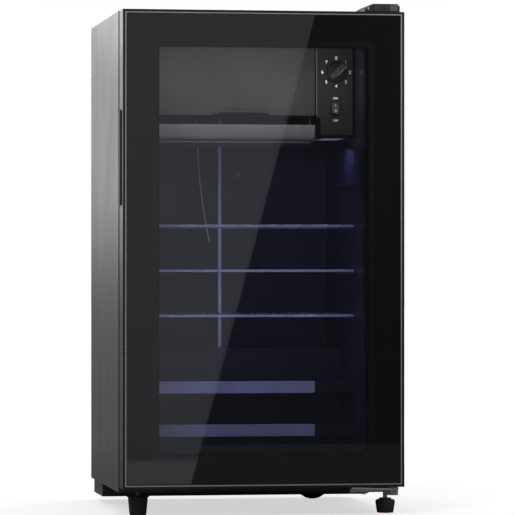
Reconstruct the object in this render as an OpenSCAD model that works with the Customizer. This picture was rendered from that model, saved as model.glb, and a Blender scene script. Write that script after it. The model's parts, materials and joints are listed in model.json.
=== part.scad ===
// Glass-door mini fridge: foamed steel cabinet, glazed door, freezer flap, racks and cooling circuit.
// X runs to the right as seen from the front, the door faces -Y, and the floor is Z = 0.

/* [Cabinet] */
// Width of the cabinet and of the door
cabinet_w = 445; // [410:1:480]
// Depth of the steel cabinet behind the door
cabinet_d = 398; // [380:1:480]
// Height of the steel cabinet
cabinet_h = 755.5; // [720:0.5:900]
// Height of the cabinet's underside above the floor
cabinet_z = 36.5; // [34:0.5:45]
// Thickness of the steel sheet
sheet_t = 1.2; // [0.8:0.1:2]
// Width of the cabinet's folded front edge
return_w = 20; // [14:1:24]
// Thickness of each insulated side wall
wall_side = 50.5; // [46:0.5:60]
// Thickness of the insulated top
wall_top = 46; // [40:0.5:55]
// Thickness of the insulated floor
wall_floor = 49.5; // [46:0.5:56]
// Thickness of the insulated rear wall
wall_rear = 48; // [40:0.5:56]
// Thickness of the moulded plastic liner
liner_t = 1.5; // [1:0.1:2.5]

/* [Compressor bay] */
// Height of the bay at the bottom of the back
bay_h = 176; // [172:1:210]
// Depth of the bay
bay_d = 125; // [122:1:150]
// Diameter of the compressor shell
compressor_d = 104; // [90:1:108]
// Height of the compressor shell
compressor_h = 128; // [100:1:132]
// Room that the condenser takes behind the cabinet
condenser_room = 22; // [20:1:30]
// Number of upright runs of the condenser tube
condenser_runs = 12; // [6:2:16]

/* [Door] */
// Thickness of the door without its gasket
door_t = 46; // [42:1:56]
// Gap between the door and the cabinet, which the gasket fills
door_gap = 14; // [12:1:18]
// Height of the door's lower edge above the cabinet's underside
door_rise = 8.5; // [8.5:0.5:12]
// Width of the black edge outside the trim line
frame_lip = 3.6; // [3:0.1:6]
// Width of the bright trim line
trim_w = 2; // [1.2:0.1:4]
// Thickness of each glass pane
glass_t = 3.6; // [3:0.1:5]
// Width of the sealed gap between the panes
pane_gap = 13.5; // [10:0.5:16]
// Dark border of the glass at each side
border_side = 57.5; // [54:0.5:70]
// Dark border of the glass at the top
border_top = 58; // [54:0.5:75]
// Dark border of the glass at the bottom
border_bottom = 54; // [54:0.5:75]
// Distance from the door's outer edge to the gasket
gasket_inset = 19.5; // [18:0.5:24]
// Width of the gasket
gasket_w = 18; // [14:0.5:20]
// Distance from the door's right edge to the hinge axis
hinge_inset = 14.5; // [13:0.5:16]
// Distance from the door's front to the hinge axis
hinge_back = 23; // [18:0.5:26]
// Diameter of the hinge pins
pin_d = 8; // [6:0.5:9]
// Radial clearance of every running fit
fit = 0.05; // [0.02:0.01:0.1]
// Height of the finger recess above the door's lower edge
handle_up = 438.5; // [300:0.5:500]
// Length of the finger recess at its mouth
handle_l = 154; // [120:1:180]
// Depth of the finger recess into the door's edge
handle_deep = 16.5; // [12:0.5:20]

/* [Inside] */
// Distance from the cabinet's front to the front plane of the inner parts
inner_set = 90; // [88:1:110]
// Width of the control box
control_w = 58; // [56:1:64]
// Height of the control box
control_h = 143; // [138:1:160]
// Depth of the control box
control_d = 120; // [90:1:140]
// Height of the freezer flap
flap_h = 109; // [95:1:112]
// Height of the chiller tray's front
tray_h = 29; // [24:0.5:32]
// Depth of the chiller tray
tray_d = 200; // [150:1:215]
// Height of the lowest wire rack above the liner's floor
rack_up = 225.8; // [220:0.2:240]
// Vertical pitch of the wall ribs and racks
rack_pitch = 72.4; // [60:0.2:73]
// Depth of a wire rack
rack_d = 225; // [180:1:235]
// Number of long wires in a rack
rack_wires = 15; // [9:1:21]
// Height of the glass shelf above the liner's floor
glass_shelf_up = 117; // [110:1:130]
// Height of the guard rail's lower edge above the liner's floor
guard_up = 32.7; // [25:0.5:50]
// Height of a guard rail
guard_h = 19.5; // [14:0.5:24]
// Diameter of the thermostat knob
knob_d = 34; // [28:1:36]

/* [Feet] */
// Top diameter of a front foot
foot_d = 33; // [28:1:34]
// Height of the left foot's cup
left_cup_h = 31; // [20:0.5:33]
// Height of the right foot's cup
right_cup_h = 21; // [16:0.5:22]
// Diameter of a foot's screw
foot_stud_d = 8; // [6:0.5:10]

/* [Hidden] */
$fn = 48;

// Places along Y, from the door's front to the condenser's back
total_d = door_t + door_gap + cabinet_d + condenser_room;
door_y = -total_d / 2;
door_back = door_y + door_t;
cab_y = door_back + door_gap;
cab_back = cab_y + cabinet_d;
// Cabinet
half_w = cabinet_w / 2;
cab_top = cabinet_z + cabinet_h;
cav_x = half_w - wall_side;
cav_z = cabinet_z + wall_floor;
cav_top = cab_top - wall_top;
cav_back = cab_back - wall_rear;
bay_y = cab_back - bay_d;
bay_top = cabinet_z + bay_h;
hump_foam = 44;
hump_y = bay_y - hump_foam;
hump_top = bay_top + hump_foam;
// Door
door_z = cabinet_z + door_rise;
door_gap_top = 1;
door_top = cab_top - door_gap_top;
win_x = half_w - border_side;
win_z = door_z + border_bottom;
win_top = door_top - border_top;
glass_x = half_w - frame_lip - trim_w;
glass_edge = frame_lip + trim_w;
spacer_reveal = 3;
spacer_w = 8;
seat = spacer_reveal + spacer_w;
pane_y = door_y + 0.4;
pane_back = pane_y + glass_t;
inner_pane_y = pane_back + pane_gap;
hinge_x = half_w - hinge_inset;
hinge_y = door_y + hinge_back;
bush_t = 3;
bush_l = 20;
// Hinge metalwork
leaf_t = 2.5;
lower_leaf_t = 3;
washer_t = 2.3;
nose_z = door_z - washer_t - 0.2;
nose_r = 9.5;
top_nose_r = 7.5;
cover_h = 12.4;
// Inner parts
inner_y = cab_y + inner_set;
rib_out = 6;
rib_h = 4.5;
rib_l = 140;
part_gap = 4;
control_x = cav_x - part_gap - 0.4 - control_w;
control_z = cav_top - control_h;
flap_x0 = -cav_x + part_gap;
flap_x1 = control_x - part_gap;
flap_top = cav_top - 3;
flap_z = flap_top - flap_h;
flap_pin_z = flap_top - 12;
flap_pin_y = inner_y + 6;
flap_pin_d = 4;
flap_t = 3;
flap_lip = 12;
frame_y = inner_y + 20;
frame_t = 8;
evap_z = flap_z + 8;
evap_top = cav_top - 4;
evap_t = 1.5;
evap_x1 = flap_x1 - 3;
tray_top = flap_z - 15;
tray_z = tray_top - tray_h;
tray_x0 = -cav_x + 7;
tray_wall = 2;
rail_t = 2.5;
rail_gap = 0.5;
knob_x = control_x + 31;
knob_z = control_z + 101;
knob_t = 14;
shaft_d = 6;
switch_x = control_x + 30;
switch_z = control_z + 42;
rocker_w = 10.4;
rocker_h = 17;
rocker_pin_d = 2;
rocker_tilt = 9;
box_wall = 2;
rack_rod = 4;
rack_side_rod = 4.6;
rack_wire = 2.4;
rack_x = cav_x - rib_out + 2.2;
rack_z = cav_z + rack_up;
rib_top = rack_z - rack_side_rod / 2 - 0.3;
glass_shelf_z = cav_z + glass_shelf_up;
shelf_glass_t = 4;
guard_z = cav_z + guard_up;
guard_t = 4;
bracket_t = 3;
// Feet, seen from above
left_foot_x = -half_w + 32.5;
right_foot_x = half_w - foot_d / 2;
foot_y = cab_y + 14;
stud_up = 22;
rear_foot_x = half_w - 74.5;
rear_foot_d = 50;
// Compressor bay
plate_z = 13;
plate_t = 2;
plate_y = bay_y - 4;
plate_back = cab_back - 4;
gland_x = half_w - 60;
gland_z = plate_z + 8;
gland_bore = 7;
gland_l = 10;
mount_h = 12;
comp_x = -70;
comp_y = (bay_y + cab_back) / 2 + 2;
comp_z = plate_z + plate_t + mount_h + 3;
comp_top = comp_z + compressor_h;
coil_y = cab_back + condenser_room / 2;
coil_d = 5;
coil_z = bay_top + 32;
coil_top = cab_top - 60;
coil_pitch = (cabinet_w - 65) / (condenser_runs - 1);
coil_x = -coil_pitch * (condenser_runs - 1) / 2;
drier_x = -coil_x - 62;
drier_y = comp_y - 6;
drier_z = 60;
drier_l = 106;
wire_d = 1.6;
wire_rows = 30;

// ---- shared shapes ----

// A box from its lowest to its highest corner
module block(lo, hi) { translate(lo) cube(hi - lo); }

// A flat outline drawn in X and Z, thickened from y0 to y1
module slab(y0, y1) { translate([0, y1, 0]) rotate([90, 0, 0]) linear_extrude(y1 - y0) children(); }

// A flat outline drawn in Y and Z, thickened from x0 to x1
module rib_profile(x0, x1) {
    translate([x0, 0, 0]) rotate([90, 0, 90]) linear_extrude(x1 - x0) children();
}

// A rectangle from corner to corner
module panel(lo, hi) { translate(lo) square(hi - lo); }

// A rectangle with round corners, from corner to corner
module round_panel(lo, hi, r) {
    translate([lo[0] + r, lo[1]]) square([hi[0] - lo[0] - 2 * r, hi[1] - lo[1]]);
    translate([lo[0], lo[1] + r]) square([hi[0] - lo[0], hi[1] - lo[1] - 2 * r]);
    for (x = [lo[0] + r, hi[0] - r]) for (z = [lo[1] + r, hi[1] - r]) translate([x, z]) circle(r);
}

// A picture frame between two heights and two widths; w is the width of its four sides
module frame_ring(x, z0, z1, w, y0, y1) {
    slab(y0, y1) difference() {
        panel([-x, z0], [x, z1]);
        panel([-x + w, z0 + w], [x - w, z1 - w]);
    }
}

// A straight round bar between two points
module rod(a, b, d) {
    v = b - a;
    translate(a) rotate([0, acos(v[2] / norm(v)), atan2(v[1], v[0])]) cylinder(h = norm(v), d = d);
}

// Bends each corner of a route into a smooth curve
function smooth(p, n = 5) = [
    p[0],
    for (i = [1 : len(p) - 2])
        let (a = (p[i - 1] + p[i]) / 2, b = (p[i] + p[i + 1]) / 2)
            for (k = [0 : n]) let (t = k / n)
                a * (1 - t) * (1 - t) + p[i] * 2 * t * (1 - t) + b * t * t,
    p[len(p) - 1]
];
function unit(v) = v / norm(v);
function heading(p, i) = unit(p[min(i + 1, len(p) - 1)] - p[max(i - 1, 0)]);

// A round tube along a route; side is a direction that the route never follows
module tube(route, d, side, sides = 8) {
    n = len(route);
    rings = [
        for (i = [0 : n - 1])
            let (t = heading(route, i), u = unit(cross(t, side)), v = cross(t, u))
                for (k = [0 : sides - 1])
                    route[i] + (u * cos(360 * k / sides) + v * sin(360 * k / sides)) * d / 2
    ];
    walls = [
        for (i = [0 : n - 2]) for (k = [0 : sides - 1])
            let (m = (k + 1) % sides)
                [i * sides + k, (i + 1) * sides + k, (i + 1) * sides + m, i * sides + m]
    ];
    start = [for (k = [0 : sides - 1]) k];
    end = [for (k = [sides - 1 : -1 : 0]) (n - 1) * sides + k];
    polyhedron(rings, concat([start, end], walls));
}

// A screw with a round or hexagonal head, pointing along its own +Z
module screw(head_d, head_h, shank_d, shank_l, sides = 32) {
    cylinder(h = shank_l + head_h, d = shank_d);
    translate([0, 0, shank_l]) cylinder(h = head_h, d = head_d, $fn = sides);
}

// ---- cabinet ----

module outer_shell() color("#3a3a3c") {
    slab(cab_y, cab_back) difference() {
        panel([-half_w, cabinet_z], [half_w, cab_top]);
        panel([-half_w + sheet_t, cabinet_z - 1], [half_w - sheet_t, cab_top - sheet_t]);
    }
    for (side = [-1, 1])
        slab(cab_y, cab_y + sheet_t)
            panel([side > 0 ? half_w - return_w : -half_w, cabinet_z],
                [side > 0 ? half_w : -half_w + return_w, cab_top]);
    slab(cab_y, cab_y + sheet_t) panel([-half_w, cab_top - return_w], [half_w, cab_top]);
}

module bottom_pan() color("#2a2a2c") difference() {
    rib_profile(-half_w + sheet_t, half_w - sheet_t) {
        panel([cab_y + sheet_t, cabinet_z], [bay_y, cabinet_z + sheet_t]);
        panel([cab_y + sheet_t, cabinet_z], [cab_y + 2 * sheet_t, cabinet_z + return_w]);
        panel([bay_y - sheet_t, cabinet_z], [bay_y, bay_top]);
        panel([bay_y - sheet_t, bay_top], [cab_back - sheet_t, bay_top + sheet_t]);
    }
    for (x = [left_foot_x, right_foot_x])
        translate([x, foot_y, cabinet_z - 1]) cylinder(h = sheet_t + 2, d = foot_stud_d + 2);
}

module back_panel() color("#303032")
    slab(cab_back - sheet_t, cab_back)
        panel([-half_w + sheet_t, bay_top], [half_w - sheet_t, cab_top - sheet_t]);

// The hollow of the liner, grown outwards by a skin
module cavity(skin = 0, front = 0)
    rib_profile(-cav_x - skin, cav_x + skin) polygon([
        [cab_y - front, cav_z - skin],
        [hump_y + skin, cav_z - skin],
        [hump_y + skin, hump_top - skin],
        [cav_back + skin, hump_top - skin],
        [cav_back + skin, cav_top + skin],
        [cab_y - front, cav_top + skin]
    ]);

module insulation_foam() color("#d8c98a") difference() {
    rib_profile(-half_w + sheet_t, half_w - sheet_t) polygon([
        [cab_y + 2 * sheet_t, cabinet_z + sheet_t],
        [bay_y - sheet_t, cabinet_z + sheet_t],
        [bay_y - sheet_t, bay_top + sheet_t],
        [cab_back - sheet_t, bay_top + sheet_t],
        [cab_back - sheet_t, cab_top - sheet_t],
        [cab_y + 2 * sheet_t, cab_top - sheet_t]
    ]);
    cavity(liner_t);
    for (x = [left_foot_x, right_foot_x])
        translate([x, foot_y, cabinet_z]) cylinder(h = stud_up + 4, d = foot_stud_d + 2);
}

module liner_ribs() {
    for (side = [-1, 1]) {
        x0 = side > 0 ? cav_x - rib_out : -cav_x;
        for (i = [0 : 4])
            if (side > 0 || i < 4)
                block([x0, inner_y + 5, rib_top + i * rack_pitch - rib_h],
                    [x0 + rib_out, inner_y + 5 + rib_l, rib_top + i * rack_pitch]);
        block([x0, inner_y + 8, glass_shelf_z - rib_h], [x0 + rib_out, hump_y, glass_shelf_z]);
    }
}

module inner_liner() color("#1c1c20") {
    difference() {
        cavity(liner_t);
        cavity(0, 1);
    }
    slab(cab_y, cab_y + sheet_t) difference() {
        panel([-half_w + return_w, cabinet_z + 2], [half_w - return_w, cab_top - return_w]);
        panel([-cav_x, cav_z], [cav_x, cav_top]);
    }
    liner_ribs();
}

module drain_channel() color("#26262b") {
    x = -12;
    difference() {
        block([x - 5, cav_back - 7, hump_top], [x + 5, cav_back, evap_z - 2]);
        block([x - 3, cav_back - 5, hump_top - 1], [x + 3, cav_back + 1, evap_z - 4]);
    }
}

// ---- hinges and feet ----

module top_hinge() color("#8d8f92") {
    difference() {
        translate([0, 0, cab_top]) linear_extrude(leaf_t) {
            translate([hinge_x, hinge_y]) circle(top_nose_r);
            panel([hinge_x - top_nose_r, hinge_y], [hinge_x + top_nose_r, cab_y + 60]);
            panel([hinge_x - 40, cab_y + 16], [hinge_x + top_nose_r, cab_y + 60]);
        }
        for (p = top_screw_places())
            translate([p[0], p[1], cab_top - 1]) cylinder(h = leaf_t + 2, d = 5);
    }
    translate([hinge_x, hinge_y, door_top - bush_l + 3])
        cylinder(h = cab_top - door_top + bush_l - 3, d = pin_d);
}
function top_screw_places() = [
    [hinge_x - 32, cab_y + 26], [hinge_x - 32, cab_y + 50], [hinge_x, cab_y + 50]
];

module top_hinge_screws() color("#9a9c9e")
    for (p = top_screw_places())
        translate([p[0], p[1], cab_top]) screw(9, 2.6, 4.8, leaf_t);

// The hinge cover seen from the front, shrunk by the thickness of its wall
module cover_profile(x0, x1, inset = 0)
    polygon([
        [x0 + inset, cab_top - inset / 2],
        [x0 + inset, cab_top + 4.5 - inset],
        [x0 + 10 + inset, cab_top + 10.5 - inset],
        [x0 + 13 + inset, cab_top + cover_h - inset],
        [x1 - 4 - inset, cab_top + cover_h - inset],
        [x1 - inset, cab_top + cover_h - 4 - inset],
        [x1 - inset, cab_top - inset / 2]
    ]);

module top_hinge_cover() color("#4a4a4d") {
    x0 = hinge_x - 57;
    x1 = hinge_x + nose_r;
    wall = 1.6;
    difference() {
        slab(hinge_y - 12, cab_y + 68) cover_profile(x0, x1);
        slab(hinge_y - 12 + wall, cab_y + 68 - wall) cover_profile(x0, x1, wall);
    }
}

module bottom_hinge() color("#b9bcc0") {
    x0 = hinge_x - 62;
    x1 = hinge_x + nose_r;
    difference() {
        union() {
            block([x0, cab_y - 2.8, cabinet_z - lower_leaf_t], [x1, cab_y + 50, cabinet_z]);
            block([x0, cab_y - 2.8, cabinet_z - lower_leaf_t], [x1, cab_y - 0.2, nose_z]);
            translate([0, 0, nose_z - lower_leaf_t]) linear_extrude(lower_leaf_t) {
                polygon([
                    [x0, cab_y - 0.2],
                    [x0, cab_y - 20],
                    [hinge_x - 12, hinge_y - nose_r + 2],
                    [hinge_x, hinge_y - nose_r],
                    [hinge_x, cab_y - 0.2]
                ]);
                translate([hinge_x, hinge_y]) circle(nose_r);
                panel([hinge_x, hinge_y], [hinge_x + nose_r, cab_y - 0.2]);
            }
        }
        translate([hinge_x, hinge_y, nose_z - lower_leaf_t - 1])
            cylinder(h = lower_leaf_t + 2, d = pin_d);
        translate([right_foot_x, foot_y, cabinet_z - lower_leaf_t - 1])
            cylinder(h = lower_leaf_t + 2, d = foot_stud_d + 2 * fit);
        for (p = bottom_screw_places())
            translate([p[0], p[1], cabinet_z - lower_leaf_t - 1])
                cylinder(h = lower_leaf_t + 2, d = 5.2);
    }
}
function bottom_screw_places() = [
    [hinge_x - 37, cab_y + 12], [hinge_x - 52, cab_y + 38], [hinge_x - 28, cab_y + 38]
];

module bottom_hinge_screws() color("#c4c6c8")
    for (p = bottom_screw_places())
        translate([p[0], p[1], cabinet_z]) mirror([0, 0, 1]) screw(10, 4.2, 5, lower_leaf_t, 6);

module bottom_hinge_pin() color("#c9ccce")
    translate([hinge_x, hinge_y, 0]) {
        translate([0, 0, nose_z - lower_leaf_t - 8.5]) cylinder(h = 8.5, d = 18, $fn = 6);
        translate([0, 0, nose_z - lower_leaf_t - 1])
            cylinder(h = lower_leaf_t + 1 + washer_t + 0.2 + bush_l - 3, d = pin_d);
    }

module hinge_washer() color("#e8e6df")
    translate([hinge_x, hinge_y, nose_z]) difference() {
        cylinder(h = washer_t, d = 17);
        translate([0, 0, -1]) cylinder(h = washer_t + 2, d = pin_d + 2 * fit);
    }

module hinge_hole_plugs() color("#2b2b2d")
    for (p = top_screw_places())
        translate([-p[0], p[1], cab_top]) cylinder(h = 1.6, d = 9);

// A front foot's plastic cup, narrower at the floor, with a socket for its screw
module foot_cup(h, socket)
    rotate_extrude() polygon([
        [0, 0], [foot_d / 2 - 3.5, 0], [foot_d / 2 - 2.5, 1],
        [foot_d / 2, h - 2.5], [foot_d / 2 - 2.5, h], [socket, h], [socket, h - 12], [0, h - 12]
    ]);

module foot_stud(cup_h)
    translate([0, 0, cup_h - 12])
        cylinder(h = cabinet_z + stud_up - cup_h + 12, d = foot_stud_d);

module front_foot_left() color("#2e2d2e")
    translate([left_foot_x, foot_y, 0]) foot_cup(left_cup_h, foot_stud_d / 2);

module front_foot_right() color("#2e2d2e")
    translate([right_foot_x, foot_y, 0]) {
        foot_cup(right_cup_h, foot_stud_d / 2);
        translate([0, 0, right_cup_h]) difference() {
            cylinder(h = 2.5, d = 20);
            translate([0, 0, -1]) cylinder(h = 5, d = foot_stud_d);
        }
    }

module foot_stud_left() color("#a9abad")
    translate([left_foot_x, foot_y, 0]) foot_stud(left_cup_h);

module foot_stud_right() color("#a9abad")
    translate([right_foot_x, foot_y, 0]) foot_stud(right_cup_h);

module base_plate() color("#1d1d1f") {
    x = half_w - 5;
    block([-x, plate_y, plate_z], [x, plate_back, plate_z + plate_t]);
    for (side = [-1, 1])
        rib_profile(side * x - (side > 0 ? plate_t : 0), side * x + (side > 0 ? 0 : plate_t))
            panel([plate_y, plate_z], [plate_back, cabinet_z]);
    block([-x, plate_y, plate_z], [x, plate_y + plate_t, cabinet_z]);
    difference() {
        block([-x, plate_back - plate_t, plate_z], [x, plate_back, plate_z + 14]);
        translate([gland_x, plate_back - plate_t - 1, gland_z])
            rotate([-90, 0, 0]) cylinder(h = plate_t + 2, d = gland_bore + 1);
    }
}

module rear_feet() color("#1a1a1b") {
    sag = plate_z;
    ball = (rear_foot_d * rear_foot_d / 4 + sag * sag) / (2 * sag);
    for (side = [-1, 1])
        translate([side * rear_foot_x, cab_back - 40, 0]) intersection() {
            translate([0, 0, ball]) sphere(ball, $fn = 96);
            cylinder(h = plate_z, d = rear_foot_d + 1);
        }
}

// ---- compressor bay ----

module compressor() color("#151516")
    translate([comp_x, comp_y, comp_z]) {
        r = compressor_d / 2;
        dome = 26;
        ball = (r * r + dome * dome) / (2 * dome);
        rotate_extrude() {
            translate([0, 8]) square([r, compressor_h - dome - 8]);
            intersection() {
                translate([0, compressor_h - ball]) circle(ball, $fn = 96);
                translate([0, compressor_h - dome]) square([r, dome]);
            }
            square([r - 8, 8]);
        }
        translate([0, 0, compressor_h * 0.55]) cylinder(h = 3, r = r + 1.6);
        difference() {
            translate([-r - 8, -r + 8, -3]) cube([2 * r + 16, 2 * r - 16, 3]);
            for (p = mount_places()) translate([p[0], p[1], -4]) cylinder(h = 5, d = 6);
        }
    }
function mount_places() = [
    for (x = [-1, 1]) for (y = [-1, 1]) [x * (compressor_d / 2 + 1), y * (compressor_d / 2 - 15)]
];

module compressor_mounts() color("#39342f")
    for (p = mount_places())
        translate([comp_x + p[0], comp_y + p[1], plate_z + plate_t]) {
            cylinder(h = mount_h, d = 13);
            cylinder(h = mount_h + 4, d = 5.4);
        }

module terminal_box() color("#222224") {
    x = comp_x + compressor_d / 2 + 1.8;
    block([x, comp_y - 22, comp_z + 20], [x + 32, comp_y + 22, comp_z + 78]);
    block([x + 32, comp_y - 16, comp_z + 26], [x + 35, comp_y + 16, comp_z + 72]);
}

module cord_gland() color("#111112")
    translate([gland_x, plate_back, gland_z]) rotate([-90, 0, 0]) difference() {
        union() {
            cylinder(h = 3, d = gland_bore + 7);
            cylinder(h = gland_l, d = gland_bore + 4);
        }
        translate([0, 0, -1]) cylinder(h = gland_l + 2, d = gland_bore);
    }

module evaporation_pan() color("#3c3c3e") {
    z = comp_top + 1;
    difference() {
        block([comp_x - 48, comp_y - 40, z], [comp_x + 48, comp_y + 40, z + 16]);
        block([comp_x - 46, comp_y - 38, z + 2], [comp_x + 46, comp_y + 38, z + 17]);
    }
}

module drain_tube() color("#8b8b8e")
    translate([comp_x + 20, comp_y, comp_top + 8]) difference() {
        cylinder(h = bay_top - comp_top - 8, d = 10);
        translate([0, 0, -1]) cylinder(h = bay_top, d = 7);
    }

// ---- cooling circuit ----

// Up one run, round a half turn and down the next
function coil_route() = [
    for (i = [0 : condenser_runs - 1])
        let (x = coil_x + i * coil_pitch, r = coil_pitch / 2, up = i % 2 == 0)
            each concat(
                [[x, coil_y, up ? coil_z : coil_top], [x, coil_y, up ? coil_top : coil_z]],
                i == condenser_runs - 1 ? [] : [
                    for (a = [30 : 30 : 150])
                        [x + r - r * cos(a), coil_y, up ? coil_top + r * sin(a) : coil_z - r * sin(a)]
                ]
            )
];

module condenser_coil() color("#1a1a1c") tube(coil_route(), coil_d, [0, 1, 0]);

module condenser_wires() color("#1a1a1c")
    for (side = [-1, 1]) for (i = [0 : wire_rows - 1])
        translate([-half_w + 22, coil_y + side * (coil_d + wire_d + 0.1) / 2,
                coil_z + 6 + i * (coil_top - coil_z - 12) / (wire_rows - 1)])
            rotate([0, 90, 0]) cylinder(h = cabinet_w - 44, d = wire_d, $fn = 16);

module condenser_brackets() color("#2d2d30")
    for (side = [-1, 1]) for (z = [coil_z + 60, coil_top - 60])
        difference() {
            block([side * (half_w - 14) - 6, cab_back, z - 14],
                [side * (half_w - 14) + 6, cab_back + condenser_room, z + 14]);
            block([side * (half_w - 22.5) - 3, coil_y - 5, z - 16],
                [side * (half_w - 22.5) + 3, coil_y + 5, z + 16]);
        }

module filter_drier() color("#b06a3b") {
    translate([drier_x, drier_y, drier_z]) rotate_extrude() polygon([
        [0, 0], [3, 0], [3, 12], [9, 22], [9, 84], [3, 94], [3, drier_l], [0, drier_l]
    ]);
    tube(smooth([
        [-coil_x, coil_y, coil_z],
        [-coil_x, coil_y, bay_top - 12],
        [-coil_x - 6, drier_y + 30, bay_top - 18],
        [drier_x, drier_y + 6, bay_top - 14],
        [drier_x, drier_y, drier_z + drier_l - 2]
    ]), coil_d, [0.8, 0.1, 0.59]);
    tube(smooth([
        [drier_x, drier_y, drier_z + 2],
        [drier_x, drier_y, drier_z - 16],
        [drier_x - 26, drier_y, drier_z - 16],
        [drier_x - 26, drier_y, bay_top]
    ]), 3, [0, 1, 0]);
}

module discharge_line() color("#b87345")
    tube(smooth([
        [comp_x + compressor_d / 2, comp_y, comp_z + 96],
        [comp_x + 70, comp_y, comp_z + 96],
        [comp_x + 90, comp_y + 20, comp_z + 130],
        [comp_x + 60, comp_y + 50, bay_top - 24],
        [coil_x, comp_y + 54, bay_top - 20],
        [coil_x, coil_y, bay_top - 12],
        [coil_x, coil_y, coil_z]
    ]), 5, [0.31, 0.87, 0.38]);

module suction_line() color("#b87345")
    tube(smooth([
        [comp_x - compressor_d / 2, comp_y, comp_z + 90],
        [comp_x - compressor_d / 2 - 20, comp_y, comp_z + 90],
        [comp_x - 84, comp_y - 6, comp_z + 130],
        [comp_x - 84, comp_y - 6, bay_top]
    ]), 8, [0, 1, 0]);

module evaporator_box() color("#a7abb0") {
    difference() {
        block([flap_x0 + 4, frame_y + frame_t, evap_z], [evap_x1, cav_back - 10, evap_top]);
        block([flap_x0 + 4 + evap_t, frame_y, evap_z + evap_t],
            [evap_x1 - evap_t, cav_back - 10 - evap_t, evap_top - evap_t]);
    }
    for (x = [flap_x0 + 30, evap_x1 - 30]) for (y = [frame_y + 40, cav_back - 50])
        translate([x, y, evap_top]) cylinder(h = cav_top - evap_top, d = 12);
}

module freezer_frame() color("#4e4e50") {
    difference() {
        block([flap_x0, frame_y, evap_z - 4], [flap_x1, frame_y + frame_t, evap_top]);
        block([flap_x0 + 8, frame_y - 1, evap_z + 4], [evap_x1 - 5, frame_y + frame_t + 1, evap_top - 8]);
    }
    for (x = [flap_x0 - 2.4, flap_x1 + 0.6])
        difference() {
            block([x, inner_y + 1, flap_pin_z - 6], [x + 1.8, frame_y + frame_t, flap_pin_z + 6]);
            translate([x - 1, flap_pin_y, flap_pin_z]) rotate([0, 90, 0]) cylinder(h = 4, d = flap_pin_d);
        }
    for (x = [flap_x0 - 2.4, flap_x1 - 1])
        block([x, frame_y + 1, flap_pin_z - 5], [x + 3.4, frame_y + frame_t, flap_pin_z + 5]);
}

module freezer_pins() color("#c2c4c6") {
    for (x = [flap_x0 - 2.4, flap_x1 - flap_t - 1])
        translate([x, flap_pin_y, flap_pin_z]) rotate([0, 90, 0])
            cylinder(h = flap_t + 3.4, d = flap_pin_d);
}

module freezer_door() color("#565657") {
    notch_x = (flap_x0 + flap_x1) / 2 + 18;
    notch_w = 93;
    slope = 8;
    difference() {
        union() {
            slab(inner_y, inner_y + flap_t)
                round_panel([flap_x0, flap_z], [flap_x1, flap_top], 3);
            for (x = [flap_x0, flap_x1 - flap_t])
                rib_profile(x, x + flap_t)
                    panel([inner_y + 1, flap_z + 3], [inner_y + flap_lip, flap_top - 6]);
            block([flap_x0 + 1, inner_y + 1, flap_z + 0.5],
                [flap_x1 - 1, inner_y + flap_lip - 0.5, flap_z + flap_t + 1]);
        }
        slab(inner_y - 1, inner_y + flap_lip + 1) polygon([
            [notch_x - notch_w / 2, flap_z - 1],
            [notch_x - notch_w / 2, flap_z],
            [notch_x - notch_w / 2 + slope, flap_z + 4.4],
            [notch_x + notch_w / 2 - slope, flap_z + 4.4],
            [notch_x + notch_w / 2, flap_z],
            [notch_x + notch_w / 2, flap_z - 1]
        ]);
        slab(inner_y - 1, inner_y + 0.8)
            panel([notch_x - 40, flap_z + 8.6], [notch_x + 40, flap_z + 9.8]);
        translate([flap_x0 - 1, flap_pin_y, flap_pin_z]) rotate([0, 90, 0])
            cylinder(h = cabinet_w, d = flap_pin_d + 2 * fit);
    }
    block([notch_x - notch_w / 2, inner_y + 1, flap_z + 4.4],
        [notch_x + notch_w / 2, inner_y + flap_lip - 1, flap_z + 6.4]);
}

module tray_rails() color("#39393b")
    for (side = [-1, 1]) {
        wall_x = side < 0 ? tray_x0 : evap_x1 - rail_t;
        ledge_x = side < 0 ? tray_x0 : evap_x1 - 8;
        block([wall_x, frame_y + 1, tray_z - rail_gap - rail_t],
            [wall_x + rail_t, inner_y + tray_d, evap_z - 4]);
        block([wall_x, frame_y + frame_t, evap_z - 5],
            [wall_x + rail_t, inner_y + tray_d, evap_z]);
        block([ledge_x, frame_y + 1, tray_z - rail_gap - rail_t],
            [ledge_x + 8, inner_y + tray_d, tray_z - rail_gap]);
    }

module chiller_tray() color("#67676a") {
    x0 = tray_x0 + rail_t + 1;
    x1 = evap_x1 - rail_t - 1;
    top = tray_top - 2;
    difference() {
        block([x0, inner_y + 3, tray_z], [x1, inner_y + tray_d - 4, top]);
        block([x0 + tray_wall, inner_y + 5, tray_z + tray_wall],
            [x1 - tray_wall, inner_y + tray_d - 4 - tray_wall, top + 1]);
    }
    rib_profile(tray_x0, flap_x1) polygon([
        [inner_y - 2, tray_top],
        [inner_y - 2, tray_top - 18],
        for (a = [0 : 15 : 75]) [inner_y + 10 - 12 * cos(a), tray_top - 18 - (tray_h - 18) * sin(a)],
        [inner_y + 10, tray_z],
        [inner_y + 10, tray_z + 2],
        [inner_y + 3.5, tray_z + 6],
        [inner_y + 2, tray_top - 16],
        [inner_y + 2, tray_top - 2.5],
        [inner_y + 6, tray_top - 2.5],
        [inner_y + 6, tray_top]
    ]);
}

// ---- controls ----

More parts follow.
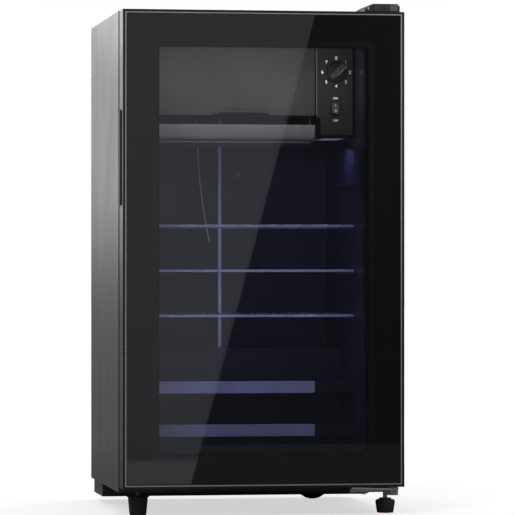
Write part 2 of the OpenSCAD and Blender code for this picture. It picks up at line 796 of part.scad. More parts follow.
module control_box() color("#3c3c3e") {
    x0 = control_x;
    x1 = control_x + control_w;
    notch = [6, 27];
    difference() {
        slab(inner_y, inner_y + control_d) polygon([
            [x0, cav_top], [x0, control_z + notch[1]], [x0 + notch[0], control_z + notch[1]],
            [x0 + notch[0], control_z], [x1, control_z], [x1, cav_top]
        ]);
        slab(inner_y + box_wall, inner_y + control_d - box_wall) polygon([
            [x0 + box_wall, cav_top - box_wall],
            [x0 + box_wall, control_z + notch[1] + box_wall],
            [x0 + notch[0] + box_wall, control_z + notch[1] + box_wall],
            [x0 + notch[0] + box_wall, control_z + box_wall],
            [x1 - box_wall, control_z + box_wall],
            [x1 - box_wall, cav_top - box_wall]
        ]);
        translate([knob_x, inner_y + box_wall + 1, knob_z]) rotate([90, 0, 0])
            cylinder(h = box_wall + 2, d = shaft_d + 2);
        slab(inner_y - 1, inner_y + box_wall + 1)
            panel([switch_x - 7, switch_z - 10.5], [switch_x + 7, switch_z + 10.5]);
    }
}

module thermostat_body() color("#a3a5a8") {
    y = inner_y + box_wall;
    difference() {
        union() {
            block([knob_x - 16, y + 8, knob_z - 17], [knob_x + 16, y + 34, knob_z + 17]);
            translate([knob_x, y + 8, knob_z]) rotate([90, 0, 0]) cylinder(h = 7.5, d = 12);
        }
        translate([knob_x, y + 30, knob_z]) rotate([90, 0, 0]) cylinder(h = 40, d = shaft_d + 2 * fit);
    }
    for (z = [-22, 17])
        block([knob_x - 10, y, knob_z + z], [knob_x + 10, y + 14, knob_z + z + 5]);
}

module thermostat_shaft() color("#b8babc")
    translate([knob_x, inner_y + box_wall + 26, knob_z]) rotate([90, 0, 0])
        cylinder(h = 26 + box_wall + 9, d = shaft_d);

module thermostat_knob() color("#232325")
    translate([knob_x, inner_y - 0.4, knob_z]) rotate([90, -45, 0]) difference() {
        union() {
            cylinder(h = 4, d = knob_d);
            cylinder(h = knob_t, d = knob_d - 5);
        }
        for (side = [-1, 1]) translate([0, side * 14 - 9, 5]) translate([-20, 0, 0]) cube([40, 18, knob_t]);
        translate([0, 0, -1]) cylinder(h = 10.4, d = shaft_d);
    }

module sensor_capillary() color("#c7c9cc")
    tube(smooth([
        [-52, cav_back - 8, evap_z - 3],
        [-50, cav_back - 8, 598],
        [-46, cav_back - 8, 528],
        [-35, cav_back - 8, 456],
        [-29, cav_back - 8, 432]
    ], 3), 2.2, [0, 1, 0]);

module light_switch() color("#1b1b1c") {
    y = inner_y;
    difference() {
        union() {
            slab(y - 1.2, y) round_panel([switch_x - 8.5, switch_z - 12], [switch_x + 8.5, switch_z + 12], 1.5);
            block([switch_x - 7, y - 0.5, switch_z - 10.5], [switch_x + 7, y + 20, switch_z + 10.5]);
        }
        block([switch_x - rocker_w / 2 - 0.5, y - 2, switch_z - 9.6],
            [switch_x + rocker_w / 2 + 0.5, y + 15, switch_z + 9.6]);
        translate([switch_x - 10, y + 4, switch_z]) rotate([0, 90, 0])
            cylinder(h = 20, d = rocker_pin_d + 2 * fit);
    }
}

module light_switch_rocker() color("#2f2f31")
    translate([switch_x, inner_y + 4, switch_z]) {
        rotate([-rocker_tilt, 0, 0]) rib_profile(-rocker_w / 2, rocker_w / 2) polygon([
            [-6, -rocker_h / 2], [-4.2, 0], [-6, rocker_h / 2],
            [3, rocker_h / 2 - 2], [5, 3], [5, -3], [3, -rocker_h / 2 + 2]
        ]);
        translate([-rocker_w / 2 - 1.6, 0, 0]) rotate([0, 90, 0]) cylinder(h = rocker_w + 3.2, d = rocker_pin_d);
    }

module led_lamp() color("#dfe4f2") {
    x0 = control_x + 10;
    block([x0, inner_y + 14, control_z - 5], [x0 + 42, inner_y + 104, control_z]);
}

// ---- racks and guards ----

module wire_rack(z) color("#77787b") {
    y0 = inner_y + 2;
    y1 = y0 + rack_d;
    for (side = [-1, 1]) rod([side * rack_x, y0 - 1, z], [side * rack_x, y1 + 1, z], rack_side_rod);
    for (y = [y0, y0 + rack_d * 0.5, y1]) rod([-rack_x, y, z], [rack_x, y, z], rack_rod);
    for (i = [1 : rack_wires])
        rod([-rack_x + 2 * rack_x * i / (rack_wires + 1), y0 + 0.3, z + 1.4],
            [-rack_x + 2 * rack_x * i / (rack_wires + 1), y1 - 0.3, z + 1.4], rack_wire);
}

module rack_lower() wire_rack(rack_z);
module rack_middle() wire_rack(rack_z + rack_pitch);
module rack_upper() wire_rack(rack_z + 2 * rack_pitch);

module glass_shelf() color("#9fb4b8", 0.4)
    block([-cav_x + 1.2, inner_y + 4, glass_shelf_z],
        [cav_x - 1.2, hump_y - 2, glass_shelf_z + shelf_glass_t]);

// A guard bar with round ends at its right, and the bracket that ties it to the side walls
module guard_bar(z) {
    slab(inner_y - 2, inner_y - 2 + guard_t) {
        round_panel([flap_x1 - 60, z], [flap_x1, z + guard_h], 3);
        panel([-cav_x + 8, z], [flap_x1 - 30, z + guard_h]);
    }
    slab(inner_y - 2 + guard_t, inner_y - 2 + guard_t + bracket_t) {
        panel([flap_x1 - 40, z + 1], [cav_x, z + guard_h - 0.5]);
        panel([-cav_x, z + 1], [-cav_x + 40, z + guard_h - 0.5]);
    }
}

module glass_shelf_trim() color("#5b5d66") difference() {
    guard_bar(glass_shelf_z + shelf_glass_t + 0.5 - guard_h);
    block([-cav_x + 1.2, inner_y + 4, glass_shelf_z], [cav_x - 1.2, hump_y, glass_shelf_z + shelf_glass_t]);
}

module guard_rail() color("#5b5d66") guard_bar(guard_z);

// ---- door ----

module handle_outline(skin = 0)
    polygon([
        [-half_w - 1, door_z + handle_up + skin],
        [-half_w - 1, door_z + handle_up + handle_l - skin],
        [-half_w + handle_deep - skin, door_z + handle_up + handle_l - 12 - skin],
        [-half_w + handle_deep - skin, door_z + handle_up + 11 + skin]
    ]);

module door_frame() color("#1e1e20") difference() {
    slab(door_y, door_back) difference() {
        panel([-half_w, door_z], [half_w, door_top]);
        panel([-win_x - seat + 2, win_z - seat + 2], [win_x + seat - 2, win_top + seat - 2]);
    }
    slab(door_y - 1, pane_back + 0.5)
        panel([-half_w + frame_lip, door_z + frame_lip], [half_w - frame_lip, door_top - frame_lip]);
    slab(pane_back, inner_pane_y + glass_t)
        panel([-win_x - seat, win_z - seat], [win_x + seat, win_top + seat]);
    slab(door_y + 7, door_back - 5) handle_outline();
    for (z = [door_z - 1, door_top - bush_l])
        translate([hinge_x, hinge_y, z]) cylinder(h = bush_l + 1, d = pin_d + 2 * bush_t);
}

module door_trim() color("#9b9b9b")
    slab(pane_y - 0.2, pane_back + 0.5) difference() {
        panel([-half_w + frame_lip, door_z + frame_lip], [half_w - frame_lip, door_top - frame_lip]);
        panel([-half_w + glass_edge, door_z + glass_edge], [half_w - glass_edge, door_top - glass_edge]);
    }

module outer_glass() color("#30363c", 0.45)
    slab(pane_y, pane_back)
        panel([-half_w + glass_edge, door_z + glass_edge], [half_w - glass_edge, door_top - glass_edge]);

module glass_spacer() color("#1b1c1e") difference() {
    slab(pane_back, inner_pane_y) panel([-win_x - seat, win_z - seat], [win_x + seat, win_top + seat]);
    slab(pane_back - 1, inner_pane_y + 1)
        panel([-win_x - spacer_reveal, win_z - spacer_reveal], [win_x + spacer_reveal, win_top + spacer_reveal]);
}

module inner_glass() color("#8fa0a6", 0.3)
    slab(inner_pane_y, inner_pane_y + glass_t)
        panel([-win_x - seat, win_z - seat], [win_x + seat, win_top + seat]);

module gasket() color("#161617") {
    x = half_w - gasket_inset;
    z0 = door_z + gasket_inset;
    z1 = door_top - gasket_inset;
    frame_ring(x, z0, z1, gasket_w, door_back, door_back + 4);
    frame_ring(x - 3, z0 + 3, z1 - 3, gasket_w - 6, door_back + 4, door_back + 6);
    frame_ring(x - 1, z0 + 1, z1 - 1, gasket_w - 2, door_back + 6, cab_y - 0.4);
}

module handle_insert() color("#2c2c2e") difference() {
    slab(door_y + 7, door_back - 5) intersection() {
        handle_outline();
        panel([-half_w, door_z], [0, door_top]);
    }
    slab(door_y + 8.5, door_back - 6.5) handle_outline(1.5);
}

module hinge_bushes() color("#d9d7cf")
    for (z = [door_z, door_top - bush_l])
        translate([hinge_x, hinge_y, z]) difference() {
            cylinder(h = bush_l, d = pin_d + 2 * bush_t);
            translate([0, 0, -1]) cylinder(h = bush_l + 2, d = pin_d + 2 * fit);
        }

// ---- one line for each node ----

outer_shell();
bottom_pan();
back_panel();
insulation_foam();
inner_liner();
drain_channel();
top_hinge();
top_hinge_cover();
top_hinge_screws();
bottom_hinge();
bottom_hinge_pin();
hinge_washer();
bottom_hinge_screws();
hinge_hole_plugs();
base_plate();
rear_feet();
front_foot_left();
front_foot_right();
foot_stud_left();
foot_stud_right();
compressor();
compressor_mounts();
terminal_box();
cord_gland();
evaporation_pan();
drain_tube();
condenser_coil();
condenser_wires();
condenser_brackets();
filter_drier();
discharge_line();
suction_line();
evaporator_box();
freezer_frame();
freezer_pins();
freezer_door();
tray_rails();
chiller_tray();
control_box();
thermostat_body();
thermostat_shaft();
thermostat_knob();
sensor_capillary();
light_switch();
light_switch_rocker();
led_lamp();
rack_upper();
rack_middle();
rack_lower();
glass_shelf();
glass_shelf_trim();
guard_rail();
door_frame();
door_trim();
outer_glass();
inner_glass();
glass_spacer();
gasket();
handle_insert();
hinge_bushes();
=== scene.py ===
"""Looks of a glass-door mini fridge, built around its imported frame.

The frame gives every place. Each operator makes one piece or one group of like pieces,
and lets it ride on the body that carries it. Lengths are metres.
"""
import json
import math

import bmesh
import bpy
from bpy.props import FloatProperty, FloatVectorProperty, IntProperty, PointerProperty
from mathutils import Matrix, Vector

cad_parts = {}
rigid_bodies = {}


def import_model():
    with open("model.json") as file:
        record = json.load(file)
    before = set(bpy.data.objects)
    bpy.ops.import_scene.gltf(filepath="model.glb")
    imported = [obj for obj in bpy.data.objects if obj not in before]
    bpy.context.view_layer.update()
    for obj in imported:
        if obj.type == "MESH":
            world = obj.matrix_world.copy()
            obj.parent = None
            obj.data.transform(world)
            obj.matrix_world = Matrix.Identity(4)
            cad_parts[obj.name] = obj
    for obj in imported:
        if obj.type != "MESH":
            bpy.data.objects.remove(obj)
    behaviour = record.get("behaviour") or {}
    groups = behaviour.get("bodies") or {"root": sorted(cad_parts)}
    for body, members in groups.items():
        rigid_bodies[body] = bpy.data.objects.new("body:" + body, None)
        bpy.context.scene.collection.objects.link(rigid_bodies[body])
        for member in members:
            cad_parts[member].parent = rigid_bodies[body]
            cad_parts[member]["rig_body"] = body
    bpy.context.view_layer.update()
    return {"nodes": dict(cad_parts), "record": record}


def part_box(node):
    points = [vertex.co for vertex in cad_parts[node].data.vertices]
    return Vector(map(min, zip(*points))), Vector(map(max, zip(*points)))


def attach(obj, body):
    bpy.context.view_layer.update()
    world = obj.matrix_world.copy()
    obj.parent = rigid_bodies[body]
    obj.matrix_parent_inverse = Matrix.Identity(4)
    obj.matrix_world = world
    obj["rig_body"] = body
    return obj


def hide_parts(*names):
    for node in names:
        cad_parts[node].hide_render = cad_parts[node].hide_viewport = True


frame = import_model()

bl_info = {
    "name": "Glass-door mini fridge",
    "version": (1, 0, 0),
    "blender": (4, 5, 0),
    "location": "View3D > Sidebar > Fridge",
    "description": "Makes the looks of a glass-door mini fridge around its frame",
    "category": "Object",
}

NODES = frame["nodes"]
SLOT_OF = {part["node"]: part["material_slot"] for part in frame["record"]["subparts"]}

# ---- places that the frame gives ----

SHELL_LOW, SHELL_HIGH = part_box("outer_shell")
PANE_LOW, PANE_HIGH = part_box("outer_glass")
GASKET_LOW, GASKET_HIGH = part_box("gasket")
FLAP_LOW, FLAP_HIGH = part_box("freezer_door")
CONTROL_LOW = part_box("control_box")[0]
KNOB_LOW, KNOB_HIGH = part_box("thermostat_knob")
ROCKER_LOW, ROCKER_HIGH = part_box("light_switch_rocker")
LAMP_LOW, LAMP_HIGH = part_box("led_lamp")
EVAPORATOR_LOW, EVAPORATOR_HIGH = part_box("evaporator_box")
CHANNEL_LOW, CHANNEL_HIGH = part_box("drain_channel")
COIL_LOW, COIL_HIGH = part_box("condenser_coil")
WIRES_LOW, WIRES_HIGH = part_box("condenser_wires")
SHAFT_LOW, SHAFT_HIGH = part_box("thermostat_shaft")

# Sizes of the frame that its boxes don't show
RACK_ROD = 0.004
RACK_SIDE_ROD = 0.0046
RACK_WIRE = 0.0024
CONDENSER_RUNS = 12
LABEL_THICKNESS = 0.0001
LINER_REAR = 0.170
WINDOW = (-0.165, 0.165, 0.099, 0.733)
ROCKER_PIVOT_Y = -0.086
CHANNEL_SHARE = 0.55
ROCKER_LEAN = math.radians(9)
SCREW_HEAD = 0.0026
FLANGE_HEAD = 0.0042

SENSOR = 36
FACING_FRONT = math.radians(90)
FACING_BACK = math.radians(-90)


def middle(low, high):
    """The point halfway between two corners."""
    return (low + high) / 2


KNOB_AXIS = middle(SHAFT_LOW, SHAFT_HIGH)

# ---- sizes and colours that a user would change ----


class FridgeSizes(bpy.types.PropertyGroup):
    """Sizes of the details."""

    edge_round: FloatProperty(
        name="Edge round", description="How round the edges are, as a share of the usual radius",
        default=1.0, min=0.2, max=1.5, subtype="FACTOR")
    print_gap: FloatProperty(
        name="Print depth", description="Thickness of the black print behind the door's glass",
        default=0.0003, min=0.0001, max=0.0005, unit="LENGTH")
    flutes: IntProperty(
        name="Foot flutes", description="Number of grip ribs round a levelling foot",
        default=40, min=12, max=72)
    dial_radius: FloatProperty(
        name="Dial radius", description="Distance of the dial's numbers from the knob's axis",
        default=0.0225, min=0.018, max=0.026, unit="LENGTH")
    number_height: FloatProperty(
        name="Number height", description="Height of the dial's numbers",
        default=0.0052, min=0.002, max=0.009, unit="LENGTH")
    rack_wires: IntProperty(
        name="Rack wires", description="Number of long wires in each rack",
        default=15, min=9, max=21)
    condenser_wires: IntProperty(
        name="Condenser wires", description="Number of wires on each side of the condenser",
        default=30, min=10, max=60)
    lens_ribs: IntProperty(
        name="Lens ribs", description="Number of ribs on the lamp's lens",
        default=22, min=6, max=60)
    label: FloatVectorProperty(
        name="Blank label", description="Width and height of the blank label on the side",
        default=(0.088, 0.078), size=2, unit="LENGTH")


class FridgeColours(bpy.types.PropertyGroup):
    """Main colours."""

    shell: FloatVectorProperty(
        name="Shell", description="Coated steel of the cabinet", subtype="COLOR",
        default=(0.17, 0.17, 0.168), min=0, max=1)
    door: FloatVectorProperty(
        name="Door", description="Black frame of the door", subtype="COLOR",
        default=(0.010, 0.010, 0.011), min=0, max=1)
    print: FloatVectorProperty(
        name="Print", description="Black print behind the door's glass", subtype="COLOR",
        default=(0.026, 0.026, 0.035), min=0, max=1)
    lamp: FloatVectorProperty(
        name="Lamp", description="Light of the lamp inside", subtype="COLOR",
        default=(0.45, 0.45, 1.0), min=0, max=1)
    ink: FloatVectorProperty(
        name="Ink", description="Print on the control box", subtype="COLOR",
        default=(0.86, 0.86, 0.85), min=0, max=1)


class FridgeStage(bpy.types.PropertyGroup):
    """Camera and light."""

    eye: FloatVectorProperty(
        name="Camera place", description="Where the camera stands", subtype="TRANSLATION",
        default=(-0.8461, -5.5476, 0.3864), unit="LENGTH")
    turn: FloatProperty(
        name="Camera turn", description="How far the camera turns to its right",
        default=math.radians(8.94), unit="ROTATION")
    tilt: FloatProperty(
        name="Camera tilt", description="How far the camera looks up",
        default=math.radians(0.2), unit="ROTATION")
    lens: FloatProperty(
        name="Lens", description="Focal length on a 36 mm sensor, in millimetres",
        default=240.7, min=20, max=400)
    world: FloatProperty(
        name="Surroundings", description="Brightness of the room around the fridge",
        default=0.16, min=0, max=2)
    key: FloatProperty(
        name="Front light", description="Power of the front softbox in watts",
        default=34, min=0, max=1000)
    side: FloatProperty(
        name="Side light", description="Brightness of the panel that the left side reflects",
        default=2.85, min=0, max=20)
    freezer_fill: FloatProperty(
        name="Freezer fill", description="Power of the fill light on the freezer flap in watts",
        default=0.5, min=0, max=10)
    shelf_fill: FloatProperty(
        name="Shelf fill", description="Power of the fill light on the shelves in watts",
        default=0.55, min=0, max=10)
    lamp: FloatProperty(
        name="Lamp light", description="Power of the lamp inside in watts",
        default=0.3, min=0, max=10)
    glare: FloatProperty(
        name="Glare", description="Brightness of the panel that the glass reflects",
        default=0.38, min=0, max=4)


def sizes():
    """The detail sizes in use."""
    return bpy.context.scene.fridge_sizes


def colours():
    """The colours in use."""
    return bpy.context.scene.fridge_colours


def studio():
    """The camera and light settings in use."""
    return bpy.context.scene.fridge_stage


# ---- finishes ----


def plug(tree, socket, value):
    """Links another socket into a socket, or sets its value."""
    if isinstance(value, bpy.types.NodeSocket):
        tree.links.new(value, socket)
    else:
        socket.default_value = value


class Recipe:
    """A finish under construction: one Principled shader and the nodes that vary it."""

    def __init__(self, name, **constants):
        self.material = bpy.data.materials.new(name)
        self.material.use_nodes = True
        self.tree = self.material.node_tree
        self.shader = self.tree.nodes["Principled BSDF"]
        self.place = self.add("ShaderNodeTexCoord").outputs["Object"]
        for socket, value in constants.items():
            self.shader.inputs[socket.replace("_", " ")].default_value = value

    def add(self, kind, **settings):
        """A new node with some of its settings."""
        node = self.tree.nodes.new(kind)
        for key, value in settings.items():
            setattr(node, key, value)
        return node

    def feed(self, node, **values):
        """Links or sets the inputs of a node, and returns it."""
        for socket, value in values.items():
            plug(self.tree, node.inputs[socket.replace("_", " ")], value)
        return node

    def stretched(self, scale):
        """Object coordinates with their own scale on each axis."""
        mapping = self.feed(self.add("ShaderNodeMapping"), Vector=self.place, Scale=scale)
        return mapping.outputs["Vector"]

    def noise(self, scale, detail=2.0, roughness=0.5, stretch=None):
        """Soft random values from 0 to 1; scale is in cells a metre."""
        node = self.add("ShaderNodeTexNoise")
        where = self.stretched(stretch) if stretch else self.place
        self.feed(node, Vector=where, Scale=scale, Detail=detail, Roughness=roughness)
        return node.outputs["Fac"]

    def cells(self, scale):
        """Distances in a random cell pattern."""
        node = self.add("ShaderNodeTexVoronoi")
        return self.feed(node, Vector=self.place, Scale=scale).outputs["Distance"]

    def spread(self, value, low, high, start=0.3, end=0.7):
        """Maps the middle of a pattern's range to new limits."""
        node = self.feed(
            self.add("ShaderNodeMapRange"), Value=value,
            From_Min=start, From_Max=end, To_Min=low, To_Max=high)
        return node.outputs["Result"]

    def sum(self, a, b, how="ADD"):
        """Two values joined by arithmetic."""
        node = self.add("ShaderNodeMath", operation=how)
        for socket, value in zip(node.inputs, (a, b)):
            plug(self.tree, socket, value)
        return node.outputs["Value"]

    def mix(self, factor, a, b):
        """A colour between two others."""
        node = self.add("ShaderNodeMix", data_type="RGBA")
        for socket, value in zip((node.inputs[0], node.inputs[6], node.inputs[7]), (factor, a, b)):
            plug(self.tree, socket, value)
        return node.outputs[2]

    def colour(self, value):
        """Sets the shader's colour."""
        self.feed(self.shader, Base_Color=value)

    def blend(self, pattern, a, b, start=0.3, end=0.7):
        """Sets the shader's colour from a pattern, between two others."""
        self.colour(self.mix(self.spread(pattern, 0, 1, start, end), a, b))

    def rough(self, value):
        """Sets the shader's roughness."""
        self.feed(self.shader, Roughness=value)

    def bump(self, height, depth, after=None):
        """Adds relief of a depth in metres, on top of an earlier relief."""
        node = self.feed(self.add("ShaderNodeBump"), Height=height, Distance=depth, Strength=1.0)
        if after is not None:
            self.feed(node, Normal=after)
        self.feed(self.shader, Normal=node.outputs["Normal"])
        return node.outputs["Normal"]

    def surface(self, shader):
        """Puts another shader in the Principled one's place."""
        self.tree.nodes.remove(self.shader)
        self.feed(self.tree.nodes["Material Output"], Surface=shader.outputs[0])
        return self.material


def shade(colour, share, alpha=1.0):
    """A colour scaled by a share, with alpha."""
    return tuple(min(1.0, c * share) for c in colour[:3]) + (alpha,)


def moulded(name, colour, roughness, grain=2200, depth=0.00001, scuff=0.06, coat=0.0):
    """Injection-moulded plastic: a spark-eroded grain, slow colour drift and handling marks."""
    recipe = Recipe(name, IOR=1.49, Coat_Weight=coat, Coat_Roughness=0.08)
    drift = recipe.noise(18, 3)
    marks = recipe.noise(70, 5, 0.62, (1, 1, 0.35))
    fine = recipe.noise(grain, 2)
    recipe.blend(drift, shade(colour, 0.86), shade(colour, 1.14))
    worn = recipe.sum(recipe.spread(marks, -scuff, scuff), recipe.spread(fine, -0.03, 0.03))
    recipe.rough(recipe.sum(worn, roughness))
    recipe.bump(fine, depth, recipe.bump(recipe.noise(90, 2), 0.00006))
    return recipe.material


def enamel(name, colour, roughness, peel=0.00006):
    """Paint on steel, with the slow waves of sprayed or dipped paint."""
    recipe = Recipe(name, IOR=1.52, Coat_Weight=0.35, Coat_Roughness=0.12)
    waves = recipe.noise(420, 2)
    dust = recipe.noise(35, 5, 0.65)
    recipe.blend(dust, shade(colour, 1), shade(colour, 1.7), 0.5, 0.8)
    recipe.rough(recipe.sum(recipe.spread(dust, -0.05, 0.12, 0.4, 0.8), roughness))
    recipe.bump(waves, peel)
    return recipe.material


def plated(name, colour, roughness, spangle=900):
    """Bare or plated metal with a spangle and small rub marks."""
    recipe = Recipe(name, Metallic=1.0)
    grain = recipe.cells(spangle)
    rub = recipe.noise(140, 6, 0.7)
    recipe.blend(rub, shade(colour, 0.78), shade(colour, 1.1))
    spangles = recipe.spread(grain, -0.06, 0.06, 0.1, 0.7)
    recipe.rough(recipe.sum(spangles, recipe.spread(rub, roughness - 0.06, roughness + 0.1)))
    recipe.bump(recipe.noise(1600, 3), 0.000012)
    return recipe.material


def brushed(name, colour, roughness, along, metallic=1.0, coat=0.0):
    """Metal with long fine brush lines; along holds a small scale on the lines' own axis."""
    recipe = Recipe(name, Metallic=metallic, Coat_Weight=coat, Coat_Roughness=0.25, IOR=1.5)
    lines = recipe.noise(1, 3, 0.6, along)
    speckle = recipe.noise(1500, 1)
    cloud = recipe.noise(9, 3)
    recipe.blend(lines, shade(colour, 0.9), shade(colour, 1.1))
    base = recipe.sum(recipe.spread(cloud, -0.03, 0.03), roughness)
    recipe.rough(recipe.sum(recipe.spread(lines, -0.04, 0.05), base))
    recipe.bump(speckle, 0.000008, recipe.bump(lines, 0.000012))
    return recipe.material


def pane(name, tint, reflection_roughness=0.0, ior=1.5):
    """Glass as a straight window: it lets light through and reflects by its angle."""
    recipe = Recipe(name)
    haze = recipe.noise(26, 5)
    smear = recipe.spread(haze, reflection_roughness, reflection_roughness + 0.03, 0.45, 0.8)
    through = recipe.feed(
        recipe.add("ShaderNodeBsdfTransparent"),
        Color=recipe.mix(haze, shade(tint, 1.0), shade(tint, 0.99)))
    gloss = recipe.feed(recipe.add("ShaderNodeBsdfGlossy"), Roughness=smear)
    fresnel = recipe.feed(recipe.add("ShaderNodeFresnel"), IOR=ior)
    both = recipe.feed(recipe.add("ShaderNodeMixShader"), Fac=fresnel.outputs["Fac"])
    plug(recipe.tree, both.inputs[1], through.outputs["BSDF"])
    plug(recipe.tree, both.inputs[2], gloss.outputs["BSDF"])
    return recipe.surface(both)


def coated_side_finish():
    """The anti-reflection coated side of a pane: a faint tint with slow drift."""
    recipe = Recipe("coated_pane_side")
    tint = recipe.mix(recipe.noise(3), (0.91, 0.93, 0.935, 1), (0.93, 0.94, 0.95, 1))
    return recipe.surface(recipe.feed(recipe.add("ShaderNodeBsdfTransparent"), Color=tint))


def shell_finish():
    """Dark coated steel with an upright satin grain and a soft upright highlight."""
    return brushed("coated_steel", colours().shell, 0.36, (900, 900, 14), metallic=0.9, coat=0.1)


def fold_finish():
    """Near-black on the cabinet's folded front edge: painted shade for the gap between the cabinet and
    the door.
    """
    return enamel("black_fold_paint", (0.008, 0.008, 0.009), 0.6)


def foam_finish():
    """Rigid foam with open cells where it was cut; the cells' hollows are painted darker, which is
    painted shade.
    """
    recipe = Recipe("rigid_foam", Roughness=0.95)
    cells_with_shade = recipe.cells(650)
    # Darker at each cell's middle: painted shade in the cut cells' hollows.
    recipe.colour(recipe.mix(cells_with_shade, (0.55, 0.44, 0.20, 1), (0.86, 0.78, 0.48, 1)))
    recipe.bump(cells_with_shade, 0.0005)
    return recipe.material


def rubber_finish():
    """Black seal rubber with a dull bloom."""
    recipe = Recipe("seal_rubber", IOR=1.2)
    bloom = recipe.noise(60, 5, 0.7)
    recipe.blend(bloom, (0.012, 0.012, 0.013, 1), (0.028, 0.028, 0.029, 1))
    recipe.rough(recipe.spread(bloom, 0.52, 0.72))
    recipe.bump(recipe.noise(1800, 2), 0.00002)
    return recipe.material


def copper_finish():
    """Copper tube with brown tarnish in patches."""
    recipe = Recipe("tarnished_copper", Metallic=1.0)
    patches = recipe.noise(55, 6, 0.7)
    lines = recipe.noise(700, 2)
    recipe.blend(patches, (0.80, 0.36, 0.20, 1), (0.33, 0.15, 0.085, 1), 0.38, 0.62)
    recipe.rough(recipe.spread(patches, 0.24, 0.5))
    recipe.bump(lines, 0.00002)
    return recipe.material


def evaporator_finish():
    """Rolled aluminium with a dull oxide."""
    return brushed("rolled_aluminium", (0.60, 0.62, 0.64), 0.42, (5, 700, 700))


def lamp_finish():
    """Frosted lens with the lamp's cold light behind it."""
    recipe = Recipe("frosted_lens", Roughness=0.35, Emission_Strength=0.09)
    recipe.shader.inputs["Emission Color"].default_value = (0.80, 0.76, 0.82, 1)
    frost = recipe.noise(900, 3)
    recipe.blend(frost, (0.66, 0.70, 0.86, 1), (0.84, 0.87, 0.95, 1))
    recipe.bump(frost, 0.00005)
    return recipe.material


def spacer_finish():
    """Black spacer bar with tiny breathing holes, which are painted darker than the bar: painted shade
    in the holes.
    """
    recipe = Recipe("perforated_spacer", Metallic=0.4)
    holes_with_shade = recipe.cells(420)
    # Near-black inside each hole: painted shade.
    recipe.blend(holes_with_shade, (0.001, 0.001, 0.001, 1), (0.02, 0.02, 0.021, 1), 0.08, 0.16)
    recipe.rough(recipe.spread(holes_with_shade, 0.7, 0.45, 0.1, 0.5))
    recipe.bump(recipe.spread(holes_with_shade, 0, 1, 0.08, 0.16), 0.0002)
    return recipe.material


def print_finish():
    """Ceramic print fused to the back of the glass."""
    recipe = Recipe("ceramic_print", IOR=1.3)
    cloud = recipe.noise(5, 4)
    tone = colours().print
    recipe.blend(cloud, shade(tone, 0.9), shade(tone, 1.15))
    recipe.rough(recipe.spread(recipe.noise(800, 2), 0.5, 0.65))
    return recipe.material


def ink_finish():
    """White pad-printed ink, a little thin in places."""
    recipe = Recipe("white_ink", Roughness=0.5)
    thin = recipe.noise(1500, 3)
    tone = colours().ink
    recipe.blend(thin, shade(tone, 0.86), shade(tone, 1.08))
    recipe.bump(thin, 0.00001)
    return recipe.material


def paper_finish():
    """Coated label paper."""
    recipe = Recipe("label_paper", IOR=1.4)
    fibre = recipe.noise(900, 4, 0.6)
    recipe.blend(fibre, (0.84, 0.83, 0.84, 1), (0.92, 0.92, 0.92, 1))
    recipe.rough(recipe.spread(fibre, 0.35, 0.5))
    recipe.bump(fibre, 0.00001)
    return recipe.material


FINISHES = {
    "shell": shell_finish,
    "black_steel": lambda: enamel("black_coated_steel", (0.026, 0.026, 0.028), 0.42),
    "foam": foam_finish,
    "liner": lambda: moulded("liner_plastic", (0.013, 0.013, 0.023), 0.36, 1400, 0.00001),
    "zinc": lambda: plated("zinc_plate", (0.66, 0.66, 0.68), 0.2),
    "dark_plastic": lambda: moulded("dark_grey_plastic", (0.050, 0.050, 0.052), 0.46),
    "black_plastic": lambda: moulded("black_plastic", (0.008, 0.008, 0.0085), 0.36),
    "white_plastic": lambda: moulded("white_acetal", (0.76, 0.75, 0.70), 0.4, 1500, 0.00001),
    "foot_plastic": lambda: moulded("foot_plastic", (0.052, 0.050, 0.050), 0.5),
    "compressor_paint": lambda: enamel("compressor_enamel", (0.012, 0.012, 0.013), 0.22, 0.00010),
    "rubber": rubber_finish,
    "condenser_paint": lambda: enamel("dipped_black_paint", (0.014, 0.014, 0.015), 0.34, 0.00005),
    "copper": copper_finish,
    "evaporator": evaporator_finish,
    "grey_plastic": lambda: moulded("grey_plastic", (0.026, 0.026, 0.0265), 0.5),
    "tray_plastic": lambda: moulded("tray_plastic", (0.115, 0.115, 0.116), 0.42),
    "rocker_plastic": lambda: moulded("rocker_plastic", (0.048, 0.048, 0.049), 0.3, 2600, 0.000006),
    "lamp": lamp_finish,
    "rack_wire": lambda: enamel("coated_wire", (0.27, 0.27, 0.26), 0.3, 0.00003),
    "shelf_glass": lambda: pane("shelf_glass", (0.86, 0.93, 0.92), 0.01),
    "bar_plastic": lambda: moulded("bar_plastic", (0.18, 0.18, 0.17), 0.34, 2200, 0.00001),
    "door_black": lambda: moulded("door_frame_plastic", colours().door, 0.3, 2600, 0.000005, 0.04, 0.05),
    "trim": lambda: brushed("satin_trim", (0.58, 0.57, 0.55), 0.3, (6, 900, 900), metallic=0.62),
    "door_glass": lambda: pane("door_glass", (0.90, 0.91, 0.93), ior=1.76),
    "clear_glass": lambda: pane("clear_glass", (0.93, 0.95, 0.95)),
    "spacer": spacer_finish,
    "fold": fold_finish,
    # Near-black finish of the shell's folded front edge: painted shade of the cabinet-door gap.
    "coated_side": coated_side_finish,
    "print": print_finish,
    "ink": ink_finish,
    "paper": paper_finish,
    # Finish of the pale strip left of the control box: painted highlight.
    "edge": lambda: brushed("sheet_cut_edge", (0.11, 0.11, 0.108), 0.4, (900, 900, 20), metallic=0.2),
    "grip": lambda: moulded("grip_plastic", (0.028, 0.028, 0.029), 0.3, 2600, 0.000006),
    "control": lambda: moulded("control_plastic", (0.0135, 0.0135, 0.014), 0.5),
    "sleeve": lambda: moulded("sensor_sleeve", (0.62, 0.62, 0.60), 0.45),
}
MADE_FINISHES = {}


